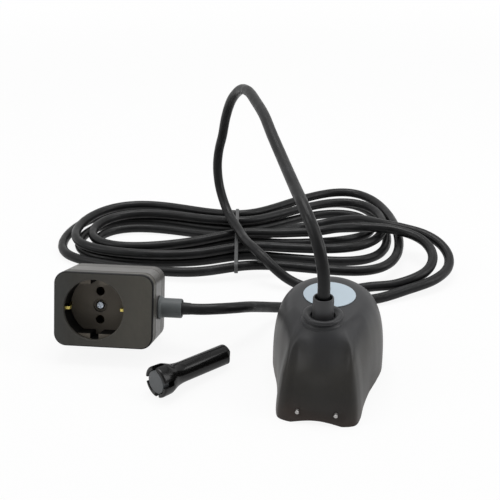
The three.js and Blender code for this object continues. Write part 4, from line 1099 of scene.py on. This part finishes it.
def make_key():
    """The handle, with four slots at its head and a flat at its far end, and the magnet in it."""
    handle = turned("key_body", KEY_PROFILE, 96, ring=True)
    slots = []
    for quarter in range(4):
        slot = block(6.3, 12, -1.8, 1.8, -1, 6.8)
        slot.data.transform(Matrix.Rotation(math.radians(-10 + 90 * quarter), 4, "Z"))
        slots.append(slot)
    step = block(-12, 12, -12, -4.62, 53.9, 58)
    without(handle, *slots, step)
    finished(handle, "key_body", "key", "key_handle", KEY_FRAME, KEY_BODY, 0.3, 38)
    plate = [(6.95, 5.0), (7.25, 4.8), (7.3, 4.5), (7.3, 0.75), (7.2, 0.4), (6.9, 0.16)]
    piece, node = "magnet_disc", "key_magnet"
    disc = turned(piece, plate, 96)
    finished(disc, piece, "magnet", node, KEY_FRAME, KEY_BODY, sharp=50)


# ---------------------------------------------------------------- cable tie
def wrapped(points, room):
    """The outline of a band drawn tight round circles about these points, its convex hull."""
    turns = [math.pi * k / 12 for k in range(24)]
    around = [(room * math.cos(t), room * math.sin(t)) for t in turns]
    ring = sorted((x + dx, y + dy) for x, y in points for dx, dy in around)
    outline = []
    for side in (ring, ring[::-1]):
        line = []
        for q in side:
            while len(line) > 1 and turn_of(line[-2], line[-1], q) <= 1e-6:
                line.pop()
            line.append(q)
        outline += line[:-1]
    return outline


def turn_of(a, b, c):
    """Above 0 where the way from a over b to c turns left."""
    return (b[0] - a[0]) * (c[1] - a[1]) - (b[1] - a[1]) * (c[0] - a[0])


def make_tie():
    """A band drawn tight round the runs that pass through it, and its ratchet head on top."""
    held = []
    for half_degree in range(2 * HANK_START, 2 * HANK_END + 1):
        q = hank_point(half_degree / 2)
        if abs(across_tie(q.x, q.y)) < TIE_WIDTH / 2:
            held.append((along_tie(q.x, q.y), q.z))
    half = TIE_WIDTH / 2 - 0.4
    band = prism(wrapped(held, CORD_RADIUS + TIE_THICKNESS), -half, half)
    without(band, prism(wrapped(held, CORD_RADIUS + 0.05), -half - 1, half + 1))
    turned_up = Matrix(((0, 0, 1, 0), (1, 0, 0, 0), (0, 1, 0, 0), (0, 0, 0, 1)))
    place = (
        Matrix.Translation(HANK_PLACE)
        @ Matrix.Rotation(TIE_TURN, 4, "Z")
        @ Matrix.Translation((-TIE_LEFT, 0, 0))
        @ turned_up
    )
    strap = finished(band, "tie_band", "tie", "cable_tie", place, ease=0.3)
    back, top = max(held)
    under = top + CORD_RADIUS - 0.3
    head = block(back - 6.2, back - 0.6, under, under + 3.6, -2.6, 2.6)
    without(head, block(back - 4.5, back - 2.7, under + 1.2, under + 4, -1.7, 1.7))
    lock = finished(head, "tie_head", "tie", place=place, ease=0.35)
    return strap, lock


cord, cord_line, cord_length = make_cord()
cord.data.materials.append(LOOKS["cord"])
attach(cord, UNIT)
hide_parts("cord_hank", "cord_sensor_run", "cord_box_run")
make_tie()
make_head()
make_cord_entry()
make_label()
make_electrodes()
make_front_cover()
make_insert()
make_clips()
make_screws()
make_middle_shell()
make_rear_cover()
make_plug_pins()
make_gland()
make_key()


# ---------------------------------------------------------------- floor and light
FLOOR_HALF = 6.0
FLOOR_COLOUR = (0.9, 0.9, 0.9, 1)
FLOOR_WHITE_NEAR = 0.45
FLOOR_WHITE_FAR = 0.55
FLOOR_GLOSS = 0.45


def plain_floor():
    """Pale paper that shows the object's shadow, and runs to white away from it."""
    mesh = bpy.data.meshes.new("floor")
    corners = [(x * FLOOR_HALF, y * FLOOR_HALF, 0) for x, y in ((-1, -1), (1, -1), (1, 1), (-1, 1))]
    mesh.from_pydata(corners, [], [(0, 1, 2, 3)])
    floor = bpy.data.objects.new("floor", mesh)
    bpy.context.scene.collection.objects.link(floor)
    g = Graph(bpy.data.materials.new("floor_paper"))
    g.tree.nodes.clear()
    away = g.tree.nodes.new("ShaderNodeVectorMath")
    away.operation = "LENGTH"
    away = g.fill(away, {0: g.coordinate()}, "Value")
    whiter = g.span(away, FLOOR_WHITE_NEAR, FLOOR_WHITE_FAR, 0.5, 1.5, smooth=True)
    share = g.math("MULTIPLY_ADD", g.ray("Is Camera Ray"), whiter, g.seen_share(FLOOR_GLOSS))
    paper = g.node("ShaderNodeBsdfDiffuse", {"Color": FLOOR_COLOUR})
    white = g.node("ShaderNodeEmission", {"Color": WHITE})
    g.surface("ShaderNodeOutputMaterial", g.shaders(share, paper, white))
    mesh.materials.append(g.owner)


def sky():
    """A soft tent, brighter behind the object than in front of it, and seen as white."""
    world = bpy.data.worlds.new("studio")
    bpy.context.scene.world = world
    g = Graph(world)
    g.tree.nodes.clear()
    back = g.axis("Y", "Generated")
    soft = g.background(g.span(back, 0.16, 0.42, -0.75, 0.35, smooth=True))
    gloss = g.background(g.span(back, 0.45, 0.85, -0.75, 0.35, smooth=True))
    lit = g.shaders(g.seen_share(1.0), soft, gloss)
    seen = g.shaders(g.ray("Is Camera Ray"), lit, g.background(1.0))
    g.surface("ShaderNodeOutputWorld", seen)


def lamp(name, place, target, size, watts):
    """A soft box turned to its target, in metres and watts."""
    data = bpy.data.lights.new(name, "AREA")
    data.shape = "RECTANGLE"
    data.size, data.size_y = size
    data.energy = watts
    light = bpy.data.objects.new(name, data)
    bpy.context.scene.collection.objects.link(light)
    light.location = place
    light.rotation_euler = (Vector(target) - Vector(place)).to_track_quat("-Z", "Y").to_euler()


plain_floor()
sky()
lamp("top_box", (-0.1, 0.35, 1.3), (-0.05, 0.08, 0), (0.8, 0.7), 9.5)
lamp("left_box", (-1.1, -0.5, 0.9), (-0.05, 0.05, 0.03), (0.7, 0.8), 4)
lamp("right_box", (1.1, 0.1, 0.8), (-0.02, 0.05, 0.03), (0.6, 0.9), 5)

bpy.context.scene.view_settings.view_transform = "Standard"
